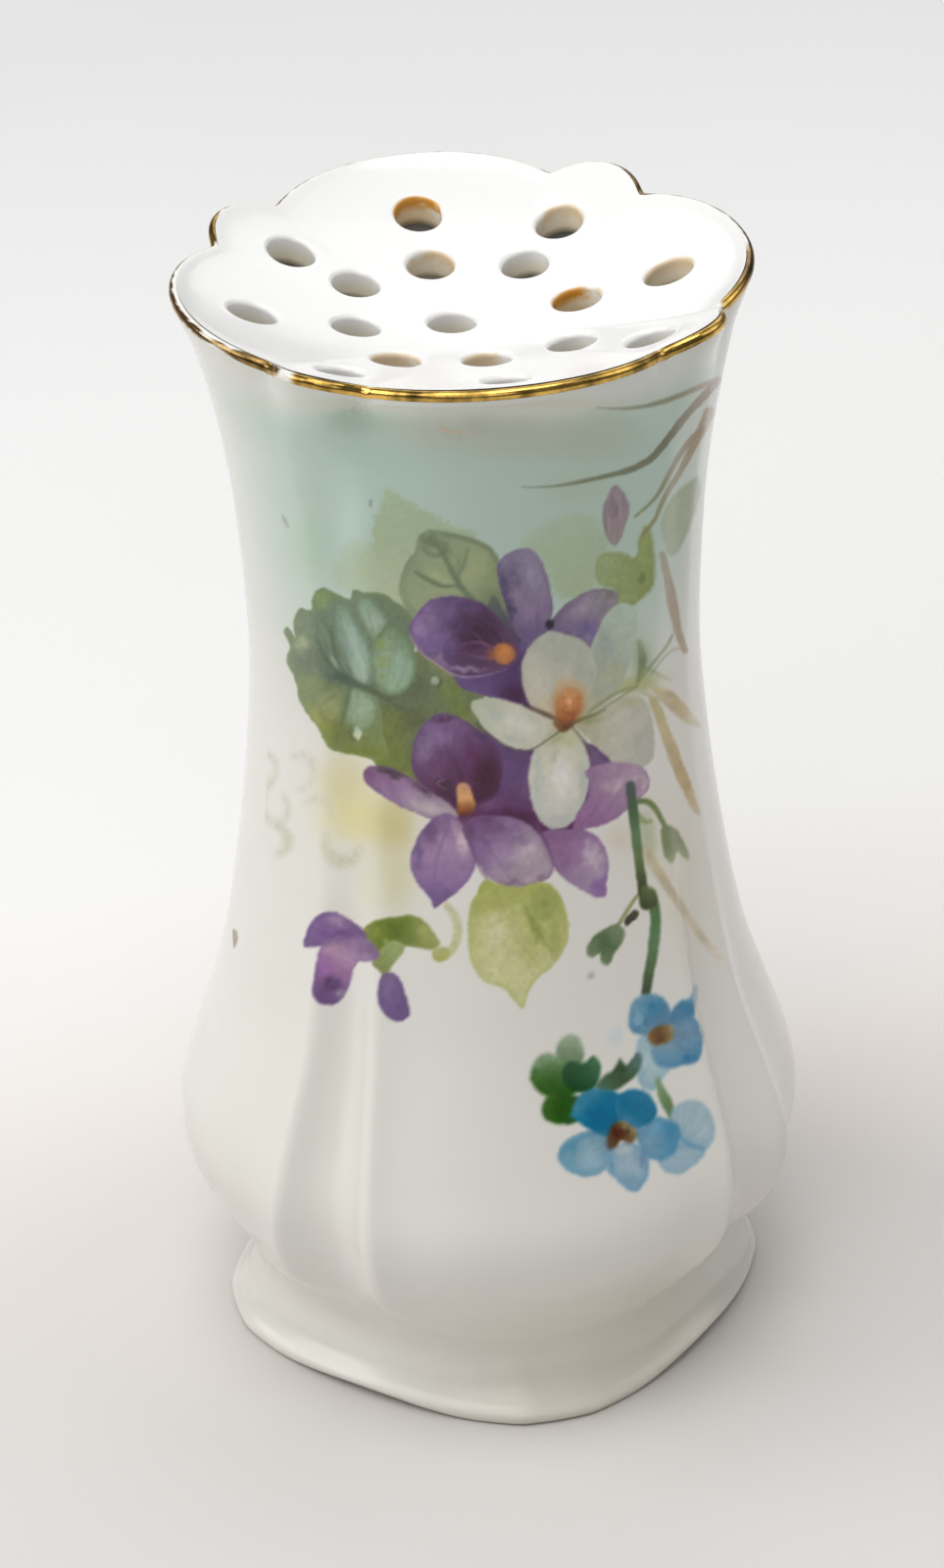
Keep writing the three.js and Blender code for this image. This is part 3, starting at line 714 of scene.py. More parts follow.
stroke("vein_f", [(338,640),(340,660),(346,678),(356,694)], (.3,.5,.5), [(86,104,84),(76,94,78)], .26, .7)
stroke("vein_g", [(322,650),(330,668),(340,682),(352,692)], (.3,.55,.7), [(90,108,86),(74,92,76)], .26, .8)
stroke("vein_i", [(357,700),(352,725),(345,750),(342,764)], (.6,.5,.3), [(90,106,82),(106,116,62)], .18, .7)
stroke("vein_k", [(345,690),(362,698),(380,705),(412,724)], (.9,.7,.4), [(72,90,74),(92,98,74)], .26, .85)
stroke("vein_l", [(316,625),(330,650),(336,672)], (.3,.35,.4), [(106,126,98),(96,112,90)], .18, .6)
stroke("dew_a_shade", [(359,739),(357,748),(362,755),(369,752)], (.2,.35,.2), [(84,96,70),(84,94,70)], .2,
    .6)
form("dew_a", [(363,741),(367,743),(369,749),(366,755),(361,750)], ((362,740),(366,755)), [(150,168,146),
    (200,204,172)], 0, 0, None, .2)
form("dew_b", [(442,691),(446,692),(448,696),(444,699),(440,696)], ((441,690),(446,699)), [(152,168,146),
    (142,156,134)], 0, 0, None, .2)
stroke("dew_b_shade", [(449,690),(450,696),(446,702)], (.15,.25,.15), [(78,86,66),(78,86,66)], .16, .7)

# Upper violet
form("upper_strip", [(504,608),(516,626),(530,643),(548,655),(545,670),(525,700),(505,690),(498,660),
    (493,630)], ((510,615),(528,685)), [(0,84,90,84),(.4,70,68,82),(1,64,48,76)], .1, .1, None, .2)
form("upper_low", [(462,684),(482,680),(500,680),(515,676),(530,655),(545,640),(566,640),(574,652),
    (548,668),(538,682),(536,700),(540,716),(546,729),(525,723),(506,714),(487,708),(469,701)],
    ((540,655),(480,700)), [(0,92,78,116),(.4,70,50,88),(1,92,72,114)], .2, .2, None, .14,
    touches=[(525,708,18,12,0,(60,34,58),.9), (532,685,7,16,0,(72,50,86),.8),(550,722,8,4,20,(62,34,54),.8),
    (490,700,18,6,10,(90,70,116),.6),(553,650,16,8,0,(104,92,130),.7)])
form("upper_right", [(560,640),(566,628),(576,617),(592,607),(608,601),(622,601),(631,608),(628,618),
    (619,630),(613,646),(608,666),(600,660),(588,654),(573,652)], ((563,640),(625,608)), [(92,78,106),
    (114,102,122),(122,116,120)], .25, .15, ((92,80,102),.25,.4), .16,
    touches=[(600,642,18,11,20,(92,80,120),.85), (607,656,5,10,0,(82,80,120),.85),
    (592,622,20,7,-30,(134,126,138),.85),(622,606,10,5,10,(104,100,92),.7),
    (578,634,14,5,-35,(112,98,122),.6)])
form("upper_stand", [(508,574),(517,565),(530,560),(541,560),(549,568),(556,580),(564,614),(562,632),
    (558,645),(549,655),(536,656),(524,642),(516,620),(507,586)], ((540,645),(532,560)), [(0,98,84,116),
    (.4,118,104,128),(1,122,114,136)], .25, .15, ((92,80,108),.25,.35), .16,
    touches=[(512,598,8,24,-12,(76,66,96),.95), (524,588,9,20,-14,(92,82,108),.85),
    (520,622,6,20,-14,(66,56,84),.9),(545,588,10,18,-10,(132,126,148),.8),(540,622,9,16,0,(124,106,132),.7),
    (536,648,14,8,0,(88,74,108),.7),(520,575,7,8,0,(104,94,122),.6)])
form("upper_left", [(417,642),(421,632),(436,614),(448,610),(462,608),(480,611),(496,618),(510,631),
    (521,645),(530,660),(528,674),(514,684),(496,688),(478,690),(462,687),(431,668),(421,655)],
    ((515,665),(425,635)), [(0,84,58,82),(.35,74,50,78),(.7,98,78,116),(1,120,98,140)], .35, .3,
    ((86,64,104),.3,.5), .16, touches=[(488,648,22,16,16,(56,34,54),.95), (470,640,14,12,10,(70,50,80),.8),
    (500,632,14,8,30,(60,44,62),.8),(436,634,13,12,-20,(126,104,140),.8),(428,645,8,7,30,(132,112,146),.8),
    (450,652,12,14,20,(112,90,130),.7),(450,618,18,6,-5,(98,80,120),.8),(478,618,22,5,10,(80,62,98),.8),
    (474,683,28,4,4,(142,122,150),.8),(447,672,14,5,38,(140,120,148),.8),(458,664,9,10,0,(88,70,112),.6),
    (492,668,16,6,0,(92,62,94),.7),(437,660,8,8,30,(116,94,138),.7)])
stroke("upper_line_a", [(510,664),(498,654),(484,648),(468,646)], (.25,.35,.15), [(62,36,54),(72,48,72)],
    .14, .7)
stroke("upper_line_b", [(508,668),(496,668),(480,664),(462,664)], (.25,.3,.15), [(66,40,58),(76,52,80)],
    .14, .6)
stroke("upper_line_c", [(508,673),(495,677),(478,676),(462,672)], (.2,.25,.12), [(70,46,70),(84,62,92)],
    .14, .55)
stroke("upper_line_d", [(512,658),(503,644),(488,634),(472,630)], (.25,.35,.15), [(50,32,48),(66,44,66)],
    .14, .7)
stroke("upper_line_e", [(505,661),(492,656),(478,656),(468,660)], (.15,.3,.1), [(140,104,116),(112,88,118)],
    .12, .6)
stroke("upper_line_f", [(503,671),(490,671),(476,668)], (.15,.25,.1), [(134,100,112),(108,84,112)], .12, .55)
stroke("upper_line_g", [(500,664),(488,650),(478,642)], (.12,.2,.1), [(126,92,106),(100,74,100)], .12, .5)
stroke("upper_line_h", [(470,630),(466,645),(456,655)], (.3,.4,.2), [(74,54,84),(84,64,100)], .2, .6)
stroke("upper_rim", [(418,648),(430,666),(446,678),(462,688),(480,691),(500,688),(516,683)],
    (.1,.22,.25,.2,.1), [(160,154,140),(166,150,150),(150,132,156),(120,98,130)], .14, .8)
form("upper_eye", [(503,662),(510,657),(518,657),(525,663),(525,671),(518,677),(510,677),(504,672)],
    ((503,668),(524,668)), [(146,94,62),(176,112,60),(156,100,62)], .2, .2, None, .24,
    touches=[(517,664,5,4,0,(186,124,72),.7), (509,674,6,3,0,(140,96,86),.6)])
form("eye_speck", [(496,666),(500,662),(504,664),(504,672),(499,674)], ((496,668),(504,668)), [(126,74,62),
    (140,84,62)], 0, .2, None, .3, alpha=.7)
form("white_upper", [(598,672),(606,652),(614,634),(624,621),(637,615),(648,622),(650,640),(647,660),
    (633,700),(606,725),(590,733),(590,716),(598,705),(602,684)], ((600,725),(640,620)), [(0,154,150,124),
    (.3,140,146,130),(1,146,160,148)], .12, .12, ((150,160,144),.25,.35), .24,
    touches=[(617,655,10,20,-20,(128,137,132),.8), (628,690,12,14,30,(146,150,122),.6),
    (604,716,12,6,-20,(160,156,132),.5),(640,640,8,14,0,(148,162,150),.6)])
form("white_right", [(584,736),(600,724),(619,715),(637,710),(652,711),(662,721),(666,740),(668,758),
    (665,776),(654,783),(640,784),(626,780),(612,768),(600,754),(590,744)], ((592,733),(664,760)),
    [(0,140,138,108),(.3,160,156,138),(.6,164,160,148),(1,152,151,142)], .15, .1, ((158,158,142),.3,.4), .2,
    touches=[(655,760,10,14,10,(150,152,144),.8), (630,738,20,8,-15,(166,162,149),.6),
    (618,762,12,9,30,(158,154,140),.7),(602,734,10,5,-10,(118,122,90),.7),(644,716,14,5,0,(146,148,112),.6)])
form("purple_mass", [(497,742),(512,750),(530,757),(547,755),(560,748),(600,758),(612,766),(626,782),
    (618,802),(602,832),(588,853),(552,856),(520,852),(480,848),(448,840),(446,815),(470,790),(490,765)],
    ((540,750),(520,845)), [(84,62,100),(92,66,106),(76,40,70)], .2, .2, None, .14,
    touches=[(525,833,26,9,10,(66,30,56),.95), (506,772,8,16,0,(104,78,118),.4),
    (607,775,9,14,-20,(102,80,114),.9),(500,822,16,9,0,(112,76,112),.7),(480,840,14,8,0,(96,62,96),.7),
    (455,835,12,6,0,(150,132,148),.8),(540,800,7,16,0,(110,92,118),.5)])
form("white_left", [(480,718),(490,713),(505,712),(546,724),(562,730),(577,738),(570,750),(554,760),
    (541,766),(516,761),(505,754),(494,744),(487,733)], ((577,738),(484,720)), [(0,160,148,116),
    (.2,178,176,162),(.6,182,182,168),(1,160,166,146)], .12, .08, ((176,178,160),.3,.4), .18,
    touches=[(530,738,26,9,15,(190,190,178),.85), (503,728,14,8,30,(164,170,160),.7),
    (525,754,16,4,15,(166,172,160),.7)])
form("white_top", [(532,690),(533,674),(540,660),(551,649),(563,644),(580,648),(595,655),(604,667),
    (609,682),(607,698),(601,712),(592,724),(577,730),(560,729),(543,721),(535,707)], ((575,725),(570,650)),
    [(0,170,160,136),(.4,166,164,150),(1,150,154,142)], .12, .1, ((160,162,148),.3,.4), .2,
    touches=[(594,684,13,24,0,(142,150,138),.85), (548,696,11,24,0,(176,170,158),.8),
    (606,692,5,16,0,(140,148,134),.7),(570,672,12,10,0,(148,152,142),.7)])
form("white_down", [(575,738),(586,744),(594,756),(600,771),(602,791),(599,810),(592,828),(583,840),
    (570,846),(557,843),(547,831),(541,813),(539,791),(542,773),(549,759),(562,746)], ((577,740),(571,845)),
    [(0,160,156,116),(.2,176,175,156),(.6,180,177,167),(1,160,162,156)], .12, .08, ((164,168,160),.3,.45),
    .2, touches=[(549,795,6,34,0,(160,166,158),.8), (596,800,6,28,0,(152,160,156),.8),
    (573,795,13,30,0,(196,192,187),.9),(568,754,9,8,0,(146,150,116),.7),(570,836,14,7,0,(160,160,156),.6),
    (566,772,4,12,10,(160,160,138),.6)])
stroke("white_shade_a", [(536,720),(568,734),(578,740)], (.4,.55,.5), [(60,48,50),(96,70,46)], .2, .8)
form("white_eye_glow", [(566,700),(576,692),(590,694),(597,706),(596,722),(588,736),(574,738),(564,724)],
    ((580,692),(577,740)), [(168,150,118),(162,122,84),(140,92,54)], .1, .1, None, .55, alpha=.85)
form("white_eye", [(573,706),(580,701),(589,704),(594,712),(592,724),(586,734),(578,743),(571,739),
    (567,728),(568,714)], ((581,700),(577,742)), [(0,166,128,84),(.45,172,112,68),(.75,140,84,48),
    (1,100,58,36)], .25, .25, None, .3, touches=[(580,717,4,7,0,(206,150,118),.9),
    (592,714,4,9,0,(150,100,56),.6),(570,720,4,10,0,(156,112,66),.6),(584,729,4,6,0,(122,66,38),.6)])
stroke("white_eye_line", [(566,738),(574,744),(584,740)], (.4,.8,.4), [(92,54,34),(84,50,32)], .2, .8)

# Pale field and white violet
stroke("white_shade_b", [(486,738),(500,750),(516,761),(530,766),(546,763),(574,744)], (.25,.3,.2),
    [(62,60,56),(92,86,70)], .12, .6)
stroke("white_shade_c", [(582,738),(604,730),(618,724)], (.4,.35,.2), [(84,72,40),(112,116,86)], .12, .75)
stroke("white_shade_d", [(584,742),(602,764),(608,778)], (.3,.4,.4), [(106,98,64),(92,74,100)], .12, .7)
stroke("white_shade_e", [(606,668),(610,684),(606,700),(598,716)], (.12,.18,.15), [(128,140,132),
    (140,136,108)], .1, .45)
stroke("white_shade_f", [(612,725),(632,712),(650,700)], (.25,.25,.2), [(110,122,98),(120,126,96)], .12, .7)

# Lower violet
form("lower_right", [(597,787),(612,780),(628,778),(645,779),(658,785),(663,800),(657,811),(647,818),
    (637,829),(622,839),(607,844),(586,846),(588,832),(600,812),(601,798)], ((590,838),(658,792)),
    [(0,118,82,120),(.4,130,100,130),(1,148,128,144)], .3, .15, ((120,94,128),.25,.35), .18,
    touches=[(628,800,22,9,-12,(154,135,149),.9), (612,824,20,9,-15,(128,96,128),.8),
    (640,802,10,6,0,(126,116,126),.7),(656,800,4,12,0,(160,146,154),.7)])
stroke("lower_right_line", [(645,800),(652,792),(660,797)], (.15,.2,.1), [(164,154,160),(160,146,156)], .14,
    .6)
form("lower_below_right", [(550,852),(566,846),(580,846),(594,846),(607,852),(615,861),(620,873),(621,886),
    (619,900),(618,914),(604,914),(578,898),(565,884),(557,868)], ((560,852),(612,908)), [(0,116,82,118),
    (.4,128,96,130),(.8,142,124,148),(1,122,94,140)], .3, .15, ((118,92,126),.25,.4), .18,
    touches=[(604,874,10,20,-10,(162,148,162),.95), (572,872,12,20,30,(122,92,124),.8),
    (610,906,8,6,0,(116,84,136),.85),(592,852,16,6,10,(122,94,126),.7),(590,892,10,12,-40,(140,118,144),.6)])
form("lower_top", [(420,772),(423,754),(433,738),(449,728),(466,731),(484,741),(499,753),(510,768),
    (512,790),(508,808),(496,818),(478,823),(462,823),(446,815),(431,803),(421,788)], ((478,815),(440,735)),
    [(0,66,36,58),(.3,84,50,80),(.65,100,70,106),(1,118,94,134)], .3, .25, ((82,58,92),.3,.5), .2,
    touches=[(494,792,15,22,0,(62,20,48),.98), (480,772,12,12,30,(86,46,82),.8),
    (455,804,14,12,20,(68,44,62),.9),(434,764,10,20,12,(126,106,140),.95),
    (450,752,14,12,30,(126,102,142),.8),(440,788,9,12,0,(104,74,104),.7),(470,752,10,8,30,(96,68,106),.6),
    (452,733,14,4,-4,(82,56,84),.9),(492,752,12,5,40,(80,58,96),.7),(475,802,12,8,0,(92,56,86),.7)])
form("lower_left", [(371,789),(377,782),(392,782),(408,787),(424,796),(440,808),(458,820),(468,832),
    (458,838),(440,836),(406,822),(380,805),(372,797)], ((465,832),(375,790)), [(0,158,144,150),
    (.35,152,138,152),(.7,138,108,144),(1,116,84,112)], .25, .12, ((110,82,120),.2,.4), .18,
    touches=[(400,787,24,5,18,(68,54,64),.95), (432,806,16,6,32,(76,52,70),.85),
    (393,801,14,6,20,(142,110,150),.7),(436,825,26,7,22,(170,157,164),.85),(376,791,6,7,0,(112,72,112),.8)])
form("lower_below_left", [(443,834),(456,830),(470,838),(478,852),(485,864),(487,876),(482,891),(473,904),
    (451,922),(443,926),(438,916),(428,904),(420,890),(419,873),(425,857),(433,844)], ((460,838),(443,922)),
    [(0,128,100,134),(.35,144,118,150),(.75,134,106,148),(1,104,78,122)], .35, .15, ((100,78,124),.25,.45),
    .2, touches=[(438,848,12,14,-30,(98,72,112),.9), (427,872,6,20,0,(108,86,130),.8),
    (472,856,9,20,-12,(182,160,170),.95),(445,914,12,8,0,(116,90,138),.7),(480,882,5,14,0,(138,112,146),.6),
    (455,862,6,14,-30,(156,132,156),.6)])
form("lower_below", [(472,844),(484,834),(504,832),(522,834),(537,840),(549,850),(564,878),(563,892),
    (552,900),(536,906),(520,906),(506,901),(494,890),(484,876),(477,860)], ((488,840),(545,895)),
    [(0,96,66,104),(.3,126,100,136),(.6,146,128,148),(1,152,138,150)], .35, .15, ((114,90,120),.25,.45), .2,
    touches=[(492,866,9,22,-18,(116,90,128),.8), (540,874,17,17,-30,(164,150,160),.95),
    (510,846,22,6,6,(106,76,112),.7),(524,901,22,4,0,(122,98,122),.7),(554,894,8,5,0,(124,96,120),.7),
    (512,878,7,14,-20,(138,118,144),.6),(530,856,12,8,20,(124,104,134),.6)])
stroke("lower_line_a", [(466,822),(458,810),(448,800),(436,792)], (.25,.3,.15), [(48,22,38),(80,54,76)],
    .16, .7)
stroke("lower_line_b", [(480,812),(488,794),(492,776),(486,758)], (.3,.45,.2), [(56,20,42),(90,54,86)], .2,
    .5)
stroke("lower_line_c", [(474,810),(470,792),(462,774),(452,758)], (.25,.35,.15), [(56,26,44),(92,62,94)],
    .2, .5)
stroke("lower_line_d", [(486,816),(500,806),(508,790)], (.25,.35,.15), [(60,20,44),(84,38,68)], .2, .5)
stroke("lower_line_e", [(490,845),(497,862),(522,898)], (.3,.45,.2), [(96,68,104),(128,104,132)], .2, .35)
stroke("lower_line_f", [(516,846),(530,858),(542,872)], (.2,.3,.15), [(112,90,122),(140,122,140)], .18, .4)
stroke("lower_line_g", [(458,842),(450,862),(444,886),(443,910)], (.25,.35,.2), [(104,76,118),(120,94,138)],
    .2, .4)
stroke("lower_gap", [(474,838),(480,860),(488,884),(500,900)], (.5,.4,.25), [(100,70,104),(104,80,110)], .2,
    .6)
stroke("lower_gap_b", [(548,842),(558,862),(566,884),(580,900)], (.5,.45,.3,.1), [(86,58,92),(108,82,112)],
    .2, .6)
stroke("lower_white", [(452,796),(446,799),(450,803),(456,806)], (.12,.25,.25,.12), [(140,114,132),
    (120,92,114)], .14, .6)
form("lower_eye", [(466,804),(471,799),(477,801),(482,811),(485,823),(481,830),(473,832),(466,829),
    (466,817)], ((472,801),(475,832)), [(0,180,138,104),(.45,190,142,96),(.75,140,86,50),(1,92,52,36)], .2,
    .15, None, .18, touches=[(475,812,4,6,20,(204,156,110),.7), (467,823,4,6,0,(104,62,44),.6)])
form("eye_dot", [(557,636),(560,633),(564,634),(565,638),(562,642),(558,641)], ((557,637),(566,639)),
    [(34,20,38),(42,26,46)], 0, 0, None, .2)

# Pale leaf below
form("pale_leaf", [(478,932),(485,914),(494,898),(510,902),(530,905),(548,900),(563,903),(573,916),
    (579,935),(580,955),(574,972),(563,987),(549,998),(541,1010),(533,1029),(524,1020),(512,1008),
    (497,1003),(485,992),(478,971)], ((530,905),(530,1025)), [(0,150,154,82),(.35,164,166,108),
    (.7,178,177,132),(1,172,173,126)], .15, .2, ((158,160,98),.35,.5), .2,
    touches=[(556,925,18,20,0,(132,140,78),.85), (567,956,10,24,0,(142,144,82),.85),
    (508,950,20,34,0,(187,183,144),.95),(503,922,22,9,0,(154,156,88),.8),(542,972,12,20,0,(160,162,104),.7),
    (546,946,8,18,-30,(124,132,66),.8),(528,935,6,14,0,(170,170,118),.6)])
stroke("pale_vein_a", [(529,912),(532,945),(533,980),(532,1018)], (.4,.5,.3), [(160,162,104),(186,184,146)],
    .3, .5)
stroke("pale_vein_b", [(536,925),(543,942),(553,958),(564,972)], (.3,.5,.3), [(118,126,62),(134,138,74)],
    .24, .6)
stroke("pale_vein_c", [(530,948),(515,960),(500,976)], (.25,.35,.2), [(164,166,110),(172,172,120)], .28, .5)
stroke("pale_vein_d", [(530,930),(512,938),(494,948)], (.25,.35,.2), [(158,160,98),(168,168,114)], .28, .5)
stroke("pale_vein_e", [(534,966),(545,980),(554,990)], (.25,.3,.15), [(142,146,84),(154,156,96)], .26, .5)

# Small violet
stroke("curl", [(456,924),(464,936),(467,950),(463,966),(454,976)], (.8,1.1,.9), [(180,178,142),
    (186,184,142),(166,168,112)], .26, .85)
form("calyx_tip", [(441,970),(449,966),(457,969),(457,977),(449,981),(442,978)], ((450,966),(450,981)),
    [(168,170,114),(154,156,84)], .1, .1, None, .24)
form("small_calyx", [(368,956),(373,945),(388,938),(404,936),(420,934),(433,940),(443,952),(449,963),
    (440,969),(425,967),(411,966),(402,974),(394,980),(386,976),(374,966)], ((372,956),(446,960)),
    [(0,112,122,48),(.35,94,112,38),(.65,112,124,60),(1,150,158,98)], .15, .2, ((128,140,74),.3,.4), .22,
    touches=[(402,950,12,8,0,(86,104,32),.8), (434,950,11,10,20,(158,164,94),.85),
    (385,952,12,6,0,(116,128,50),.7),(397,962,6,8,-30,(150,160,106),.85)])
form("small_calyx_low", [(383,976),(391,966),(403,960),(413,966),(408,976),(400,986),(394,997),(387,991),
    (380,984)], ((405,965),(388,992)), [(148,160,106),(136,148,92),(118,128,76)], .1, .15, None, .22)
form("small_top", [(310,966),(312,952),(319,939),(331,931),(345,932),(370,948),(372,960),(352,962),
    (322,966)], ((366,952),(315,950)), [(0,108,84,124),(.4,138,108,154),(1,112,84,136)], .2, .15,
    ((98,74,124),.3,.4), .22, touches=[(344,938,16,6,12,(166,138,172),.9),
    (345,953,24,5,-4,(116,78,136),.85),(318,963,8,4,-10,(100,74,124),.6)])
form("small_low", [(325,971),(334,960),(352,957),(369,956),(382,964),(387,975),(379,981),(366,982),
    (360,992),(357,1004),(350,1018),(340,1025),(327,1024),(319,1015),(320,1000)], ((362,962),(332,1020)),
    [(0,134,106,144),(.3,174,140,170),(.65,138,98,144),(1,104,76,122)], .2, .15, ((106,80,132),.3,.4), .22,
    touches=[(340,1004,10,10,30,(84,60,102),.8), (334,988,10,12,0,(160,108,170),.85),
    (376,970,10,6,10,(116,90,124),.8),(327,1014,6,7,0,(104,72,122),.7),(348,1015,5,6,20,(152,144,162),.8),
    (345,970,12,6,0,(180,146,172),.8)])
form("small_bud", [(388,998),(394,993),(404,994),(410,1003),(418,1031),(414,1040),(402,1042),(390,1032),
    (385,1018)], ((398,995),(404,1038)), [(0,122,102,136),(.4,112,90,134),(1,106,84,128)], .2, .15,
    ((96,76,122),.3,.4), .22, touches=[(396,1010,5,10,0,(126,106,146),.7), (410,1030,5,8,0,(92,70,112),.7)])

# Grasses
stroke("grass_a", [(728,389),(690,405),(668,412),(648,416),(628,417),(609,416)], (.7,.55,.12),
    [(124,108,92),(104,108,88),(112,118,98)], .14, .85)
stroke("grass_b", [(733,388),(700,424),(670,462),(654,474),(634,482),(580,494),(552,497),(532,497)],
    (.9,.75,.12), [(116,98,82),(84,84,66),(92,98,78),(112,124,106)], .14, .9)
stroke("grass_c", [(724,420),(714,442),(692,484),(682,500),(674,516),(668,530),(656,546)], (1.2,.65,.4),
    [(122,102,78),(116,106,84),(112,110,72)], .14, .85)
stroke("grass_d", [(716,438),(702,452),(690,470),(670,506),(648,527)], (.7,.55,.3), [(118,100,78),
    (108,104,80),(110,114,84)], .14, .85)
stroke("grass_e", [(676,566),(688,625),(692,645),(699,664)], (.7,1.2,.7), [(120,112,90),(128,112,92),
    (134,116,96)], .16, .75)
stroke("grass_f", [(699,664),(690,662),(680,668),(664,688)], (.2,.3,.2), [(132,124,98),(120,124,92)], .14,
    .5)
form("lime_spot", [(652,588),(656,584),(659,589),(656,596),(651,594)], ((652,588),(658,592)), [(92,104,56),
    (96,108,60)], 0, 0, None, .2)
form("lilac_bud", [(622,502),(627,495),(633,498),(639,507),(642,520),(634,548),(627,557),(619,549),
    (615,534),(616,516)], ((626,555),(630,497)), [(0,124,114,106),(.4,122,110,116),(1,122,112,118)], .5,
    .15, ((108,96,102),.25,.35), .18, touches=[(625,520,4,22,4,(112,98,108),.6),
    (634,525,4,18,0,(130,122,126),.5)])
stroke("sprig_a", [(652,655),(655,668),(655,680),(651,694)], (.6,1,.5), [(112,128,98),(88,100,72),
    (108,118,76)], .2, .75)
stroke("sprig_b", [(686,648),(678,662),(650,696)], (.3,.4,.4), [(118,122,92),(112,122,88),(122,124,82)],
    .16, .7)
stroke("sprig_c", [(660,682),(672,688),(684,694)], (.5,.4,.2), [(112,120,90),(140,140,108)], .2, .5)
stroke("sprig_d", [(600,727),(615,716),(632,706),(650,700)], (.3,.4,.4), [(104,112,80),(118,124,84)], .16,
    .6)
form("tan_leaf_a", [(661,700),(672,700),(684,705),(696,715),(706,728),(716,742),(704,739),(690,730),
    (668,708)], ((665,702),(712,740)), [(160,152,112),(150,134,100),(176,166,142)], .4, .1, None, .25,
    alpha=.85)
form("tan_leaf_b", [(662,712),(670,714),(678,730),(708,808),(714,830),(706,826),(696,806),(686,784),
    (668,732)], ((666,714),(712,828)), [(0,160,152,104),(.35,152,138,98),(.75,150,130,92),(1,178,166,140)],
    .4, .1, None, .22, alpha=.9)
form("tan_leaf_c", [(656,864),(664,868),(674,884),(706,936),(724,960),(742,984),(728,976),(708,952),
    (674,902),(662,882)], ((660,866),(738,980)), [(0,168,156,126),(.4,160,148,118),(.75,168,156,136),
    (1,186,178,166)], .4, .1, None, .25, alpha=.75)
stroke("tan_line", [(655,706),(668,712),(684,716)], (.3,.5,.2), [(150,146,110),(156,144,112)], .2, .6)

# Stems and buds
stroke("stem_right", [(650,818),(660,818),(669,826),(681,848)], (.65,.7,.5), [(84,100,58),(98,112,62)], .16,
    .95)
form("bud_right", [(675,845),(683,842),(692,849),(699,862),(703,876),(696,874),(691,870),(686,881),
    (679,875),(675,860)], ((680,846),(692,878)), [(104,112,78),(106,116,80),(130,138,106)], .1, .15, None,
    .22)
stroke("stem_leaf", [(650,830),(657,838),(664,838)], (.5,.7,.4), [(106,120,74),(116,130,86)], .2, .75)
stroke("stem_left", [(657,908),(647,918),(632,942),(626,950)], (.35,.5,.4), [(116,122,76),(120,128,84),
    (112,120,78)], .14, .85)
form("bud_left", [(629,943),(637,950),(635,962),(627,973),(620,985),(613,981),(612,973),(604,977),(598,970),
    (604,957),(616,948)], ((630,948),(606,976)), [(100,116,86),(74,94,62),(96,112,82)], .1, .2, None, .24,
    touches=[(618,964,6,10,30,(62,84,56),.6)])
form("stem_knot", [(648,928),(652,933),(640,945),(637,940),(642,932)], ((650,930),(640,943)), [(62,58,42),
    (50,50,38)], 0, 0, None, .14)
stroke("stem_a", [(643,802),(651,872),(658,924)], (1.1,1.1,1.05), [(66,74,74),(62,82,58),(80,104,70),
    (82,100,62),(56,66,38),(48,52,30)], .2)
stroke("stem_b", [(664,912),(668,930),(668,955),(659,1012)], (1.15,1.25,1.05), [(66,90,50),(70,100,62),
    (80,108,74),(70,92,60),(52,62,44)], .24)
form("grey_dot", [(600,994),(604,991),(607,995),(604,999),(600,998)], ((600,994),(606,997)),
    [(150,150,148)], 0, 0, None, .3, alpha=.8)
form("stem_foot", [(655,905),(668,908),(670,922),(662,928),(653,924)], ((660,905),(660,927)), [(84,96,54),
    (50,56,32)], .1, 0, None, .2, alpha=.8)

# Forget-me-nots
form("blue_pale_blob", [(620,1056),(628,1047),(636,1052),(634,1064),(626,1069),(620,1064)],
    ((620,1056),(634,1062)), [(176,186,188)], .1, .1, None, .4, alpha=.6)
form("blue_a_pale", [(650,1062),(664,1058),(682,1066),(688,1084),(678,1098),(668,1112),(655,1110),
    (649,1092)], ((668,1060),(660,1108)), [(134,160,170),(150,170,174),(132,158,166)], .15, .1,
    ((124,152,164),.4,.4), .32, touches=[(678,1082,8,8,0,(104,138,160),.8),
    (655,1100,5,10,0,(118,148,160),.6)])
form("blue_a_left", [(641,1040),(644,1025),(653,1016),(665,1014),(677,1019),(684,1032),(682,1048),
    (668,1056),(652,1056),(643,1050)], ((676,1048),(650,1020)), [(0,80,112,134),(.4,64,112,140),
    (1,104,142,160)], .2, .2, ((78,120,148),.4,.4), .3, touches=[(668,1027,9,9,0,(44,106,140),.8),
    (650,1040,7,10,0,(120,154,168),.7),(660,1050,9,5,0,(118,148,160),.5)])
form("blue_a_spike", [(681,1042),(687,1028),(695,1021),(703,1018),(708,1008),(711,1006),(710,1022),
    (708,1036),(700,1046),(688,1048)], ((690,1040),(709,1008)), [(72,112,140),(60,112,142),(138,162,172)],
    .1, .15, None, .3, touches=[(702,1028,5,9,20,(60,108,140),.8)])
form("blue_a_right", [(678,1052),(688,1044),(702,1037),(712,1042),(717,1057),(716,1074),(709,1085),
    (696,1087),(684,1084),(678,1070)], ((684,1056),(714,1070)), [(0,98,124,142),(.4,96,126,148),
    (1,84,124,148)], .2, .18, ((64,112,144),.35,.5), .3, touches=[(700,1080,12,6,-10,(42,98,134),.9),
    (706,1052,7,10,0,(104,130,152),.7),(690,1075,8,8,0,(66,114,146),.7)])
form("blue_a_down", [(664,1066),(680,1060),(690,1068),(698,1080),(692,1088),(680,1090),(668,1084)],
    ((680,1062),(684,1087)), [(112,138,154),(76,120,148)], .15, .15, None, .35)
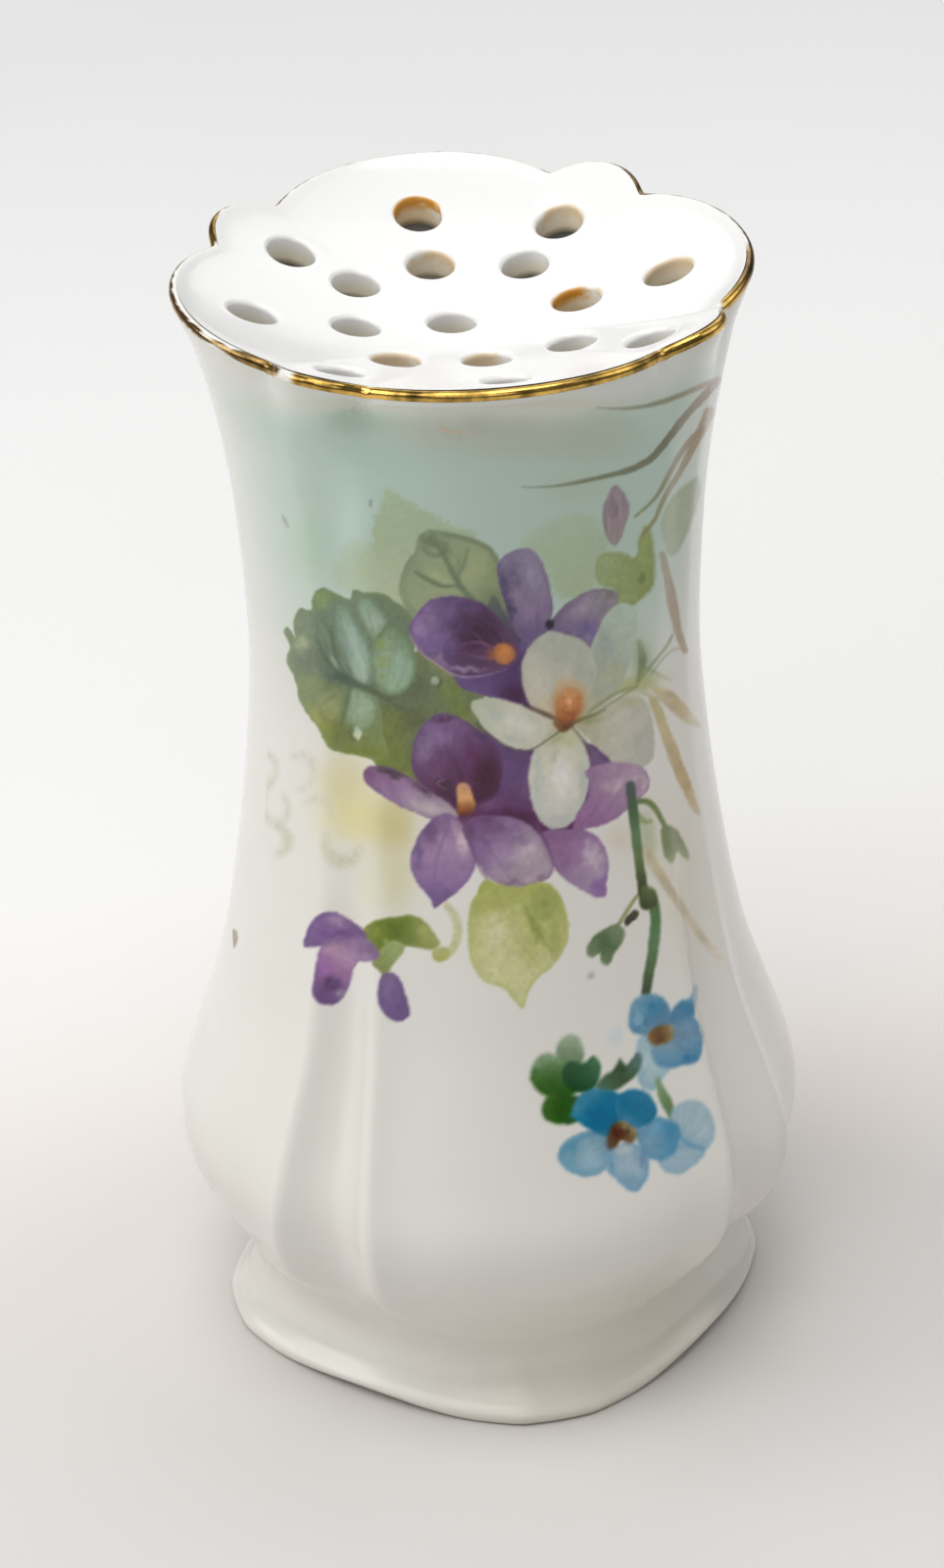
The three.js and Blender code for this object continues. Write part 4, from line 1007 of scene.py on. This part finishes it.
form("blue_a_eye", [(661,1056),(668,1049),(678,1046),(686,1047),(687,1057),(681,1064),(670,1066),
    (663,1063)], ((661,1057),(687,1054)), [(0,120,96,66),(.4,92,62,32),(1,122,106,74)], .1, .3, None, .36,
    touches=[(687,1047,5,4,0,(150,138,112),.7), (673,1060,6,5,0,(88,54,26),.8)])
form("leaf_grey", [(571,1062),(581,1055),(591,1060),(596,1075),(590,1088),(576,1090),(567,1076)],
    ((582,1058),(580,1084)), [(138,154,132),(88,110,80)], .1, .2, None, .36)
form("leaf_green_1", [(541,1096),(547,1080),(560,1074),(574,1082),(586,1094),(590,1112),(574,1120),
    (556,1118),(544,1108)], ((560,1074),(560,1114)), [(124,146,118),(66,102,54),(48,84,34)], .1, .25, None,
    .34, touches=[(560,1106,12,8,0,(46,84,32),.7), (550,1082,6,7,0,(130,150,124),.6)])
form("leaf_green_2", [(574,1092),(582,1083),(594,1085),(606,1078),(613,1087),(611,1102),(602,1114),
    (586,1114),(576,1106)], ((610,1084),(580,1108)), [(62,100,68),(36,76,48),(18,64,38)], .1, .25, None, .3)
form("leaf_green_3", [(552,1132),(558,1120),(575,1116),(592,1120),(596,1134),(586,1146),(568,1147),
    (556,1142)], ((556,1130),(590,1132)), [(62,94,46),(44,78,24),(46,82,48)], .1, .25, None, .32)
form("leaf_green_4", [(608,1110),(616,1098),(626,1091),(632,1080),(640,1086),(650,1074),(655,1082),
    (650,1096),(638,1106),(624,1114)], ((612,1108),(654,1078)), [(72,98,78),(54,74,48),(78,106,108)], .1,
    .25, None, .3, touches=[(634,1090,6,7,0,(44,62,38),.7)])
stroke("leaf_green_5", [(671,1102),(675,1114),(687,1140)], (.6,1.3,1), [(110,136,104),(86,112,72),
    (66,98,66)], .26, .9)
form("blue_c_a", [(684,1136),(695,1125),(711,1123),(723,1132),(729,1148),(728,1163),(718,1173),(702,1168),
    (688,1156)], ((694,1162),(716,1130)), [(0,120,150,166),(.4,146,165,174),(1,146,165,172)], .15, .1,
    ((126,154,170),.35,.4), .3)
form("blue_c_b", [(670,1174),(682,1164),(698,1166),(714,1170),(719,1178),(708,1189),(694,1198),(680,1196),
    (672,1187)], ((676,1168),(698,1194)), [(104,142,164),(134,158,170),(138,160,172)], .15, .1,
    ((104,142,164),.35,.4), .3)
form("blue_b_right", [(648,1152),(658,1142),(674,1140),(691,1147),(694,1160),(688,1176),(675,1184),
    (660,1181),(652,1168)], ((654,1160),(688,1158)), [(100,134,156),(92,136,160),(68,124,154)], .2, .15,
    ((70,124,154),.35,.45), .28, touches=[(663,1166,8,9,0,(114,144,164),.7),
    (682,1154,8,10,0,(60,120,152),.7)])
form("blue_b_left", [(569,1182),(573,1169),(585,1159),(600,1154),(616,1154),(625,1166),(624,1182),
    (616,1195),(600,1201),(586,1198),(575,1191)], ((620,1164),(576,1184)), [(0,104,134,150),
    (.4,126,154,168),(1,104,142,160)], .15, .1, ((84,132,156),.4,.5), .28,
    touches=[(583,1170,10,6,-35,(84,132,156),.85), (600,1184,12,11,0,(132,160,174),.8)])
form("blue_b_down", [(617,1180),(626,1170),(642,1166),(656,1172),(662,1188),(660,1203),(651,1215),
    (640,1214),(619,1194)], ((638,1172),(644,1212)), [(120,148,164),(136,158,170),(110,144,164)], .15, .1,
    ((96,136,162),.4,.5), .28, touches=[(623,1188,5,12,-20,(92,134,160),.8),
    (657,1184,5,11,0,(96,124,148),.7),(641,1186,8,12,0,(138,160,171),.7),(645,1206,10,6,0,(104,142,162),.6)])
form("blue_b_upper_left", [(583,1134),(590,1119),(603,1111),(618,1112),(630,1116),(636,1130),(636,1148),
    (624,1160),(606,1155),(585,1141)], ((625,1148),(594,1118)), [(20,92,124),(26,100,132),(74,124,146)], .2,
    .2, ((36,100,134),.35,.3), .28, touches=[(610,1137,13,11,0,(2,94,128),.9),
    (598,1121,9,6,-20,(52,114,140),.8)])
form("blue_b_upper_right", [(628,1122),(638,1113),(653,1112),(664,1119),(670,1134),(662,1146),(646,1151),
    (632,1146)], ((638,1144),(656,1118)), [(58,110,138),(30,98,128),(38,104,134)], .2, .2,
    ((36,98,132),.35,.3), .28, touches=[(655,1130,7,7,0,(20,96,128),.8), (629,1128,3,10,0,(74,126,150),.6)])
form("blue_b_eye", [(619,1160),(624,1149),(633,1144),(644,1148),(650,1158),(644,1166),(634,1164),(628,1171),
    (620,1172)], ((622,1168),(644,1152)), [(0,84,72,64),(.4,80,50,28),(1,116,106,78)], .1, .3, None, .34,
    touches=[(633,1155,7,6,0,(68,38,18),.9), (638,1145,9,3,10,(146,134,100),.6)])
form("blue_b_white", [(628,1172),(638,1168),(646,1172),(642,1178),(632,1178)], ((628,1174),(646,1174)),
    [(160,168,170)], 0, .1, None, .4, alpha=.8)
stroke("blue_line_a", [(690,1156),(700,1166),(718,1173)], (.4,.5,.35), [(80,130,156),(88,134,160)], .3, .8)
stroke("blue_line_b", [(655,1172),(660,1184),(660,1192)], (.3,.4,.25), [(90,122,148),(96,128,154)], .26, .6)
stroke("blue_line_c", [(618,1156),(604,1157),(588,1165),(576,1176)], (.35,.45,.3), [(76,124,150),
    (86,132,158)], .28, .6)

# Specks
stroke("speck_a", [(288,526),(291,532),(294,538)], (.2,.45,.2), [(150,160,140),(150,160,140)], .2, .7)
stroke("speck_b", [(378,511),(378,516)], (.3,.3,.3), [(110,128,118),(110,128,118)], .12, .8)
stroke("speck_c", [(450,437),(462,441),(478,441)], (.35,.3,.25), [(176,148,128),(178,160,142)], .14, .75)
stroke("speck_d", [(240,951),(240,960)], (.4,.5,.4), [(150,138,112),(150,138,112)], .2, .85)


# Meshes
def make_piece(name, points, faces, node, material, colours, normals, uv=None):
    mesh = bpy.data.meshes.new(name)
    counts = np.concatenate([np.full(len(f), f.shape[1]) for f in faces])
    corners = np.concatenate([f.ravel() for f in faces])
    mesh.vertices.add(len(points))
    mesh.vertices.foreach_set("co", (points * MM).astype(np.float32).ravel())
    mesh.loops.add(len(corners))
    mesh.loops.foreach_set("vertex_index", corners.astype(np.int32))
    mesh.polygons.add(len(counts))
    mesh.polygons.foreach_set("loop_start", (np.cumsum(counts) - counts).astype(np.int32))
    mesh.update(calc_edges=True)
    mesh.polygons.foreach_set("use_smooth", np.ones(len(counts), bool))
    layer = mesh.attributes.new("Paint", "FLOAT_COLOR", "POINT")
    data = np.ones((len(points), 4), np.float32)
    data[:, :3] = colours
    layer.data.foreach_set("color", data.ravel())
    if uv is not None:
        layer = mesh.uv_layers.new(name="OFBake")
        layer.data.foreach_set("uv", uv[corners].astype(np.float32).ravel())
    mesh.normals_split_custom_set_from_vertices(normals.tolist())
    mesh.materials.append(material)
    piece = bpy.data.objects.new(name, mesh)
    bpy.context.scene.collection.objects.link(piece)
    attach(piece, "root")
    if node:
        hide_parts(node)


def ring_faces(rows, around):
    """Faces between rows of points that run round in rings, the last row joined to the first."""
    low = np.arange(rows)[:, None]
    high = (low + 1) % rows
    here = np.arange(around)[None, :]
    beside = (here + 1) % around
    quads = np.stack([low * around + here, low * around + beside,
                      high * around + beside, high * around + here], -1)
    return quads.reshape(-1, 4)


def grid_faces(rows, cols):
    a = (np.arange(rows - 1)[:, None] * cols + np.arange(cols - 1)[None, :]).ravel()
    return np.stack([a, a + 1, a + cols + 1, a + cols], -1)


def soft_normals(points, faces):
    total = np.zeros_like(points)
    for f in faces:
        first, second, third, last = points[f[:, 0]], points[f[:, 1]], points[f[:, 2]], points[f[:, -1]]
        across = third - first
        n = np.cross(across, last - second) if f.shape[1] == 4 else np.cross(second - first, across)
        for k in range(f.shape[1]):
            np.add.at(total, f[:, k], n)
    return total / np.maximum(np.linalg.norm(total, axis=1, keepdims=True), 1e-12)


def even(rows, colour, count):
    """One colour for a number of rows of points."""
    return [np.broadcast_to(linear(colour), (count, 3))] * rows


def column_angles(z):
    narrow = narrow_half(z)
    wide = QUARTER / 2 - narrow
    broad = np.linspace(-wide, wide, WIDE_COLUMNS, endpoint=False)
    slim = np.linspace(wide, wide + 2 * narrow, NARROW_COLUMNS, endpoint=False)
    return np.concatenate([np.concatenate([broad, slim]) + q * QUARTER for q in range(4)])


LIP_END = HEIGHT - LIP * (1 - math.sin(LIP_START))


def lip_point(a, t, out=0.0):
    """A place on the rounded lip: t turns from its outside over its top to its inside."""
    middle = outer(LIP_END, a) - LIP * math.cos(LIP_START)
    high = settle(LIP_END, a) - LIP * math.sin(LIP_START)
    return place(middle + (LIP + out) * np.cos(t), a, high + (LIP + out) * np.sin(t))


def dish_edge(a):
    x, y, _ = np.moveaxis(lip_point(a, math.pi), -1, 0)
    return np.hypot(x, y)


def inside(z, a):
    return plain(z, a) - WALL


def wall_rows():
    spans = ((FOOT_ROUND, FOOT_SWELL, 3), (FOOT_SWELL, TUCK, 20), (TUCK, BULGE, 30),
             (BULGE, WAIST, 60), (WAIST, RIM_START, 24), (RIM_START, LIP_END, 26))
    return np.unique(np.concatenate([np.linspace(*span) for span in spans]))


def wall_glazed(material):
    """The wall in rings: up the outside, over the lip, down the inside and round the foot."""
    rows, colours, normals = [], [], []
    for z in wall_rows():
        a = column_angles(z)
        rows.append(skin_point(z, a))
        normals.append(skin_normal(z, a))
        across = PAINT_RADIUS * ((a + math.pi) % TAU - math.pi)
        colours.append(linear(ground(across, np.full(a.shape, z))))
    a = column_angles(HEIGHT)
    for t in np.linspace(LIP_START, math.pi, LIP_ROWS)[1:]:
        rows.append(lip_point(a, t))
        # The lip's top and inner side take the whiter glaze that is painted for the light on the dish
        colours += even(1, LIT_WHITE_GLAZE if t > 1 else WHITE_GLAZE, len(a))
    x, y, high = rows[-1].T
    lip_r, low = np.hypot(x, y), settle(BEVEL_START, a)
    for share in LIP_SHARES:
        r = lip_r + (inside(BEVEL_START, a) - lip_r) * share
        rows.append(place(r, a, high + (low - high) * share))
    inner = [np.linspace(BEVEL_START, WAIST, 16), np.linspace(WAIST, BULGE, 24)[1:],
             np.linspace(BULGE, TUCK, 14)[1:], [FLOOR_SEAT + 0.2, FLOOR_SEAT]]
    for z in np.concatenate(inner):
        a = column_angles(z)
        rows.append(place(inside(z, a), a, settle(z, a)))
    colours += even(len(rows) - len(colours), LIT_WHITE_GLAZE, len(a))
    seat = inside(FLOOR_SEAT, a) + FLOOR_SEAT_WIDTH
    rows += [place(seat, a, FLOOR_SEAT), place(seat, a, FLOOR_RECESS)]
    a = column_angles(0)
    foot_out = outer(FOOT_ROUND, a)
    for inward, z in FOOT_SECTION:
        rows.append(place(foot_out - inward, a, settle(z, a)))
    colours += even(len(rows) - len(colours), BARE_CLAY, len(a))
    points = np.concatenate(rows)
    faces = [ring_faces(len(rows), len(a))]
    shade = soft_normals(points, faces)
    shade[:len(normals) * len(a)] = np.concatenate(normals)
    make_piece("wall_glazed", points, faces, "body_wall", material,
               np.concatenate(colours), shade)


def dish_height(x, y):
    a = np.arctan2(x, -y)
    edge = dish_edge(a)
    r = np.hypot(x, y)
    low = HEIGHT - DISH_DEPTH
    rim = settle(HEIGHT, a) - LIP_STAND
    fillet = DISH_FILLET * np.exp(-np.maximum(edge - r, 0) / DISH_FILLET_REACH)
    return low + (rim - low) * (r / edge) ** 2 + fillet


def hole_colour(number, turn, down):
    """The colour turns warmer down the hole, and rust stains some rims."""
    deep = smooth(np.full(turn.shape, float(down)), *HOLE_WARMS)
    c = mix(np.broadcast_to(LIT_WHITE_GLAZE, turn.shape + (3,)), HOLE_SHADE, deep)
    strength = 1.0 if number in STAINED else TINGE
    toward = STAINED.get(number, TINGED.get(number))
    if toward is not None:
        facing = 0.5 + 0.5 * np.cos(turn - toward)
        speck = cloud(np.cos(turn) * SPECK_WAVES + number * SPECK_SHIFT,
                      np.sin(turn) * SPECK_WAVES + down * SPECK_DOWN)
        rim = smooth(down, *STAIN_TOP) * (1 - STAIN_PALER * smooth(down, *STAIN_PALES))
        stain = smooth(STAIN_FACING * facing + STAIN_SPECKS * speck, *STAIN_SPAN)
        c = mix(c, STAIN, strength * rim * stain)
    return linear(c)


def hole_ring(hole, r):
    turn = np.linspace(0, TAU, HOLE_SIDES, endpoint=False)
    return np.stack([hole[0] + r * np.cos(turn), hole[1] + r * np.sin(turn)], -1)


def in_dish(points, out):
    return np.hypot(*points.T) < dish_edge(np.arctan2(points[:, 0], -points[:, 1])) + out


def far_from(holes, points, far):
    return np.all([np.hypot(*(points - hole).T) > far for hole in holes], axis=0)


def dish_flat(holes):
    """The dish seen from above, cut into triangles round its holes."""
    a = np.linspace(0, TAU, DISH_SIDES, endpoint=False)
    edge = dish_edge(a)
    mouth = HOLE_RADIUS + HOLE_ROUNDING
    loops = [place(edge + DISH_TUCK, a, 0)[:, :2]]
    loops += [hole_ring(hole, mouth + extra) for hole in holes for extra in MOUTH_RINGS]
    starts = np.cumsum([0] + [len(p) for p in loops])
    sides = [(s + i, s + (i + 1) % len(p)) for s, p in zip(starts.tolist(), loops) for i in range(len(p))]
    g = np.arange(-DISH_REACH, DISH_REACH, DISH_GRID)
    gx, gy = np.meshgrid(g, g)
    gx = gx + (np.arange(len(g)) % 2)[:, None] * DISH_GRID / 2
    grid = np.stack([gx.ravel(), gy.ravel()], -1)
    loops.append(grid[in_dish(grid, -EDGE_CLEAR) & far_from(holes, grid, mouth + MOUTH_CLEAR)])
    loops += [place(edge - inset, a, 0)[::2, :2] for inset in EDGE_RINGS]
    verts, _, tris, origin, _, _ = delaunay_2d_cdt(
        [Vector(p) for p in np.concatenate(loops).tolist()], sides, [], 0, 1e-6)
    v = np.array([tuple(p) for p in verts])
    where = {o: i for i, group in enumerate(origin) for o in group}
    t = np.array([f for f in tris if len(f) == 3])
    middle = v[t].mean(1)
    t = t[in_dish(middle, DISH_TUCK + SLACK) & far_from(holes, middle, mouth - SLACK)]
    area = np.cross(v[t[:, 1]] - v[t[:, 0]], v[t[:, 2]] - v[t[:, 0]])
    t[area < 0] = t[area < 0][:, ::-1]
    mouths = starts[1:-1:len(MOUTH_RINGS)].tolist()
    rings = [np.array([where[s + i] for i in range(HOLE_SIDES)]) for s in mouths]
    return v, t, rings


def top_glazed(material):
    holes = [place(RIM_RADIUS * out, TAU * turn, 0)[:2] for turn, out in HOLES]
    v, t, rings = dish_flat(holes)
    n = len(v)
    upper = np.column_stack([v, dish_height(v[:, 0], v[:, 1])])
    points, faces = [upper, upper - [0, 0, TOP_THICKNESS]], [t, t[:, ::-1] + n]
    colours = even(1, LIT_WHITE_GLAZE, 2 * n)
    count = 2 * n
    turn = np.linspace(0, TAU, HOLE_SIDES, endpoint=False)
    steps = [(HOLE_ROUNDING * (1 - math.sin(q)), HOLE_ROUNDING * (1 - math.cos(q)))
             for q in np.linspace(0, QUARTER, MOUTH_STEPS)[1:]]
    for number, (hole, first) in enumerate(zip(holes, rings)):
        loops = [first]
        for out, down in steps + list(HOLE_DEPTHS):
            points.append(np.column_stack([hole_ring(hole, HOLE_RADIUS + out), upper[first, 2] - down]))
            colours.append(hole_colour(number, turn, down))
            loops.append(np.arange(count, count + HOLE_SIDES))
            count += HOLE_SIDES
        loops.append(first + n)
        for low, high in zip(loops[1:], loops[:-1]):
            faces.append(np.stack([high, np.roll(high, -1), np.roll(low, -1), low], -1))
    points = np.concatenate(points)
    make_piece("top_glazed", points, faces, "pierced_top", material,
               np.concatenate(colours), soft_normals(points, faces))


def gilt_mask(a, share):
    """Where the gold is left across its width, and how brown it is."""
    degrees = np.degrees((a + math.pi) % TAU - math.pi)
    kept = np.interp(degrees, *zip(*GILT_KEPT))
    ragged = wander("gilt", degrees, np.full(a.shape, share * GILT_ROWS))
    left = smooth(kept - abs(share - 0.5) * GILT_NARROWS + ragged, *GILT_SOFT)
    brown = np.interp(degrees, *zip(*GILT_BROWN))
    return np.stack([left, brown, np.zeros_like(left)], -1)


def rim_gold(material):
    a = column_angles(HEIGHT)
    rows, marks = [], []
    profile = [(skin_point, (z, a)) for z in np.linspace(HEIGHT - GILT_SKIRT, LIP_END, 4)[:-1]]
    profile += [(lip_point, (a, t)) for t in np.linspace(LIP_START, GILT_END, 10)]
    last = len(profile) - 1
    for k, (surface, at) in enumerate(profile):
        rows.append(surface(*at, GILT_THICK if 0 < k < last else 0.0))
        marks.append(gilt_mask(a, k / last))
    for surface, at in reversed(profile):
        rows.append(surface(*at, -GILT_SUNK))
        marks.append(np.zeros((len(a), 3)))
    points = np.concatenate(rows)
    faces = [ring_faces(len(rows), len(a))]
    make_piece("rim_gold", points, faces, "rim_gilding", material,
               np.concatenate(marks), soft_normals(points, faces))


def well_inside(across, up):
    """1 inside the painted stretch, falling to 0 at its outer border, where it dips under."""
    share = np.zeros(across.shape)
    for step in BORDER_STEPS:
        covered = np.ones(across.shape, bool)
        for x, y in ((-step, -step), (-step, step), (step, -step), (step, step)):
            here = [(across + x >= left) & (across + x <= right) & (up + y >= low) & (up + y <= high)
                    for left, right, low, high in PATCHES.values()]
            covered &= np.any(here, axis=0)
        share += covered / len(BORDER_STEPS)
    return share


def painted_patch(name, span, material):
    left, right, low, high = span
    cols, rows = round((right - left) / PATCH_STEP) + 1, round((high - low) / PATCH_STEP) + 1
    across, up = np.meshgrid(np.linspace(left, right, cols), np.linspace(low, high, rows))
    a = across / PAINT_RADIUS
    proud = PATCH_PROUD - (PATCH_PROUD + PATCH_SUNK) * (1 - well_inside(across, up))
    points = skin_point(up, a, proud)
    colours = paint(across, up, points).reshape(-1, 3)
    uv = np.stack([(across - left) / (right - left), (up - low) / (high - low)], -1).reshape(-1, 2)
    make_piece(name, points.reshape(-1, 3), [grid_faces(rows, cols)], None,
               material, colours, skin_normal(up, a).reshape(-1, 3), uv)


# Materials
MIX_FIRST, MIX_SECOND, MIX_RESULT = 6, 7, 2    # a colour mix node's sockets


def new_material(name):
    material = bpy.data.materials.new(name)
    material.use_nodes = True
    nodes = material.node_tree.nodes
    return material, nodes, material.node_tree.links, nodes["Principled BSDF"]


def object_noise(nodes, links, scale, detail):
    where = nodes.new("ShaderNodeTexCoord")
    grain = nodes.new("ShaderNodeTexNoise")
    grain.inputs["Scale"].default_value = scale
    grain.inputs["Detail"].default_value = detail
    links.new(where.outputs["Object"], grain.inputs["Vector"])
    return grain.outputs["Fac"]


def map_range(nodes, links, value, low, high, start, end):
    m = nodes.new("ShaderNodeMapRange")
    m.inputs["From Min"].default_value = start
    m.inputs["From Max"].default_value = end
    m.inputs["To Min"].default_value = low
    m.inputs["To Max"].default_value = high
    links.new(value, m.inputs["Value"])
    return m.outputs["Result"]


def texture(nodes, links, scale, detail, low, high, start=0.3, end=0.7):
    """Noise whose values between start and end run from low to high."""
    return map_range(nodes, links, object_noise(nodes, links, scale, detail), low, high, start, end)


def bump(nodes, links, shader, scale, detail, distance, strength):
    b = nodes.new("ShaderNodeBump")
    b.inputs["Strength"].default_value = strength
    b.inputs["Distance"].default_value = distance
    links.new(object_noise(nodes, links, scale, detail), b.inputs["Height"])
    links.new(b.outputs["Normal"], shader.inputs["Normal"])


def colour_mix(nodes):
    m = nodes.new("ShaderNodeMix")
    m.data_type = "RGBA"
    return m


def shaded(nodes, links, colour, value):
    """The colour times a value."""
    m = colour_mix(nodes)
    m.blend_type = "MULTIPLY"
    m.inputs["Factor"].default_value = 1.0
    links.new(colour, m.inputs[MIX_FIRST])
    links.new(value, m.inputs[MIX_SECOND])
    return m.outputs[MIX_RESULT]


def glaze():
    material, nodes, links, shader = new_material("glaze")
    colours = nodes.new("ShaderNodeAttribute")
    colours.attribute_name = "Paint"
    tone = texture(nodes, links, *GLAZE_TONE)
    links.new(shaded(nodes, links, colours.outputs["Color"], tone), shader.inputs["Base Color"])
    links.new(texture(nodes, links, *GLAZE_POLISH), shader.inputs["Roughness"])
    bump(nodes, links, shader, *GLAZE_WAVE)
    shader.inputs["IOR"].default_value = GLAZE_INDEX
    return material


def bisque():
    material, nodes, links, shader = new_material("bisque")
    shades = nodes.new("ShaderNodeValToRGB")
    for element, colour in zip(shades.color_ramp.elements, BISQUE_COLOURS):
        element.color = colour
    links.new(object_noise(nodes, links, *BISQUE_GRAIN), shades.inputs["Fac"])
    links.new(shades.outputs["Color"], shader.inputs["Base Color"])
    links.new(texture(nodes, links, *BISQUE_POLISH), shader.inputs["Roughness"])
    bump(nodes, links, shader, *BISQUE_GRIT)
    return material


def gilding():
    """Gold that turns brown, and glaze where it has worn off."""
    material, nodes, links, shader = new_material("gilding")
    marks = nodes.new("ShaderNodeAttribute")
    marks.attribute_name = "Paint"
    split = nodes.new("ShaderNodeSeparateColor")
    links.new(marks.outputs["Color"], split.inputs["Color"])
    gold = colour_mix(nodes)
    gold.inputs[MIX_FIRST].default_value = GOLD
    gold.inputs[MIX_SECOND].default_value = BROWN_GOLD
    links.new(split.outputs["Green"], gold.inputs["Factor"])
    worn = colour_mix(nodes)
    worn.inputs[MIX_FIRST].default_value = tuple(linear(WHITE_GLAZE)) + (1,)
    links.new(split.outputs["Red"], worn.inputs["Factor"])
    # Mottled gold: partly uneven gilding, partly painted dark reflections and bright glints
    tone = texture(nodes, links, *GILT_MOTTLE_AND_GLINTS, *GILT_MOTTLE_AND_GLINTS_SPAN)
    links.new(shaded(nodes, links, gold.outputs[MIX_RESULT], tone), worn.inputs[MIX_SECOND])
    links.new(worn.outputs[MIX_RESULT], shader.inputs["Base Color"])
    links.new(split.outputs["Red"], shader.inputs["Metallic"])
    links.new(texture(nodes, links, *GILT_POLISH), shader.inputs["Roughness"])
    bump(nodes, links, shader, *GILT_GRIT)
    return material


def table_cloth():
    material, nodes, links, shader = new_material("table")
    where = nodes.new("ShaderNodeTexCoord")
    split = nodes.new("ShaderNodeSeparateXYZ")
    links.new(where.outputs["Object"], split.inputs["Vector"])
    ramp_node = nodes.new("ShaderNodeValToRGB")
    # The ramp paints the cloth darker in front and far behind, a painted shade for the light falling off
    shades = ramp_node.color_ramp.elements
    shades[0].position, shades[0].color = CLOTH_PAINTED_FALLOFF[0]
    shades[1].position, shades[1].color = CLOTH_PAINTED_FALLOFF[-1]
    for share, colour in CLOTH_PAINTED_FALLOFF[1:-1]:
        shades.new(share).color = colour
    depth = map_range(nodes, links, split.outputs["Y"], 0.0, 1.0, *CLOTH_SPAN)
    links.new(depth, ramp_node.inputs["Fac"])
    tone = texture(nodes, links, *CLOTH_TONE)
    links.new(shaded(nodes, links, ramp_node.outputs["Color"], tone), shader.inputs["Base Color"])
    shader.inputs["Roughness"].default_value = CLOTH_ROUGHNESS
    shader.inputs["Specular IOR Level"].default_value = CLOTH_SHINE
    return material


# Object
glaze_material = glaze()
wall_glazed(glaze_material)
top_glazed(glaze_material)
rim_gold(gilding())
for patch_name, patch_span in PATCHES.items():
    painted_patch(patch_name, patch_span, glaze_material)
floor_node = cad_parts["base_floor"]
floor_node.data.materials.clear()
floor_node.data.materials.append(bisque())

# Table
table_mesh = bpy.data.meshes.new("table_top")
table_mesh.from_pydata(TABLE_CORNERS, [], [(0, 1, 2, 3)])
table_mesh.materials.append(table_cloth())
table_top = bpy.data.objects.new("table_top", table_mesh)
bpy.context.scene.collection.objects.link(table_top)

# Camera
camera = bpy.data.cameras.new("camera")
camera.sensor_fit = "AUTO"
camera.sensor_width = 36.0
camera.lens = LENS_PIXELS / PHOTO_HIGH * camera.sensor_width
camera.clip_start, camera.clip_end = 0.05, 20
camera_object = bpy.data.objects.new("camera", camera)
bpy.context.scene.collection.objects.link(camera_object)
axes = np.column_stack([turned(RIGHT), turned(UP), -turned(LOOK), CAMERA_PLACE * MM])
camera_object.matrix_world = Matrix(axes.tolist() + [[0, 0, 0, 1]])
bpy.context.scene.camera = camera_object

# Light
world = bpy.data.worlds.new("room")
world.use_nodes = True
bpy.context.scene.world = world
room = world.node_tree.nodes["Background"]
room.inputs["Color"].default_value = ROOM_COLOUR
room.inputs["Strength"].default_value = ROOM_STRENGTH
for lamp_name, (lamp_turn, lamp_rise, watts, tint) in LAMPS.items():
    lamp = bpy.data.lights.new(lamp_name, "AREA")
    lamp.shape = "DISK"
    lamp.size = LAMP_SIZE
    lamp.energy = watts
    lamp.color = tint
    lamp_object = bpy.data.objects.new(lamp_name, lamp)
    bpy.context.scene.collection.objects.link(lamp_object)
    way = Vector(place(math.cos(math.radians(lamp_rise)), math.radians(lamp_turn) - TURN,
                       math.sin(math.radians(lamp_rise))))
    lamp_object.location = way * LAMP_DISTANCE + LAMP_AIM
    lamp_object.rotation_mode = "QUATERNION"
    lamp_object.rotation_quaternion = way.to_track_quat("Z", "Y")

bpy.context.scene.view_settings.view_transform = "Standard"
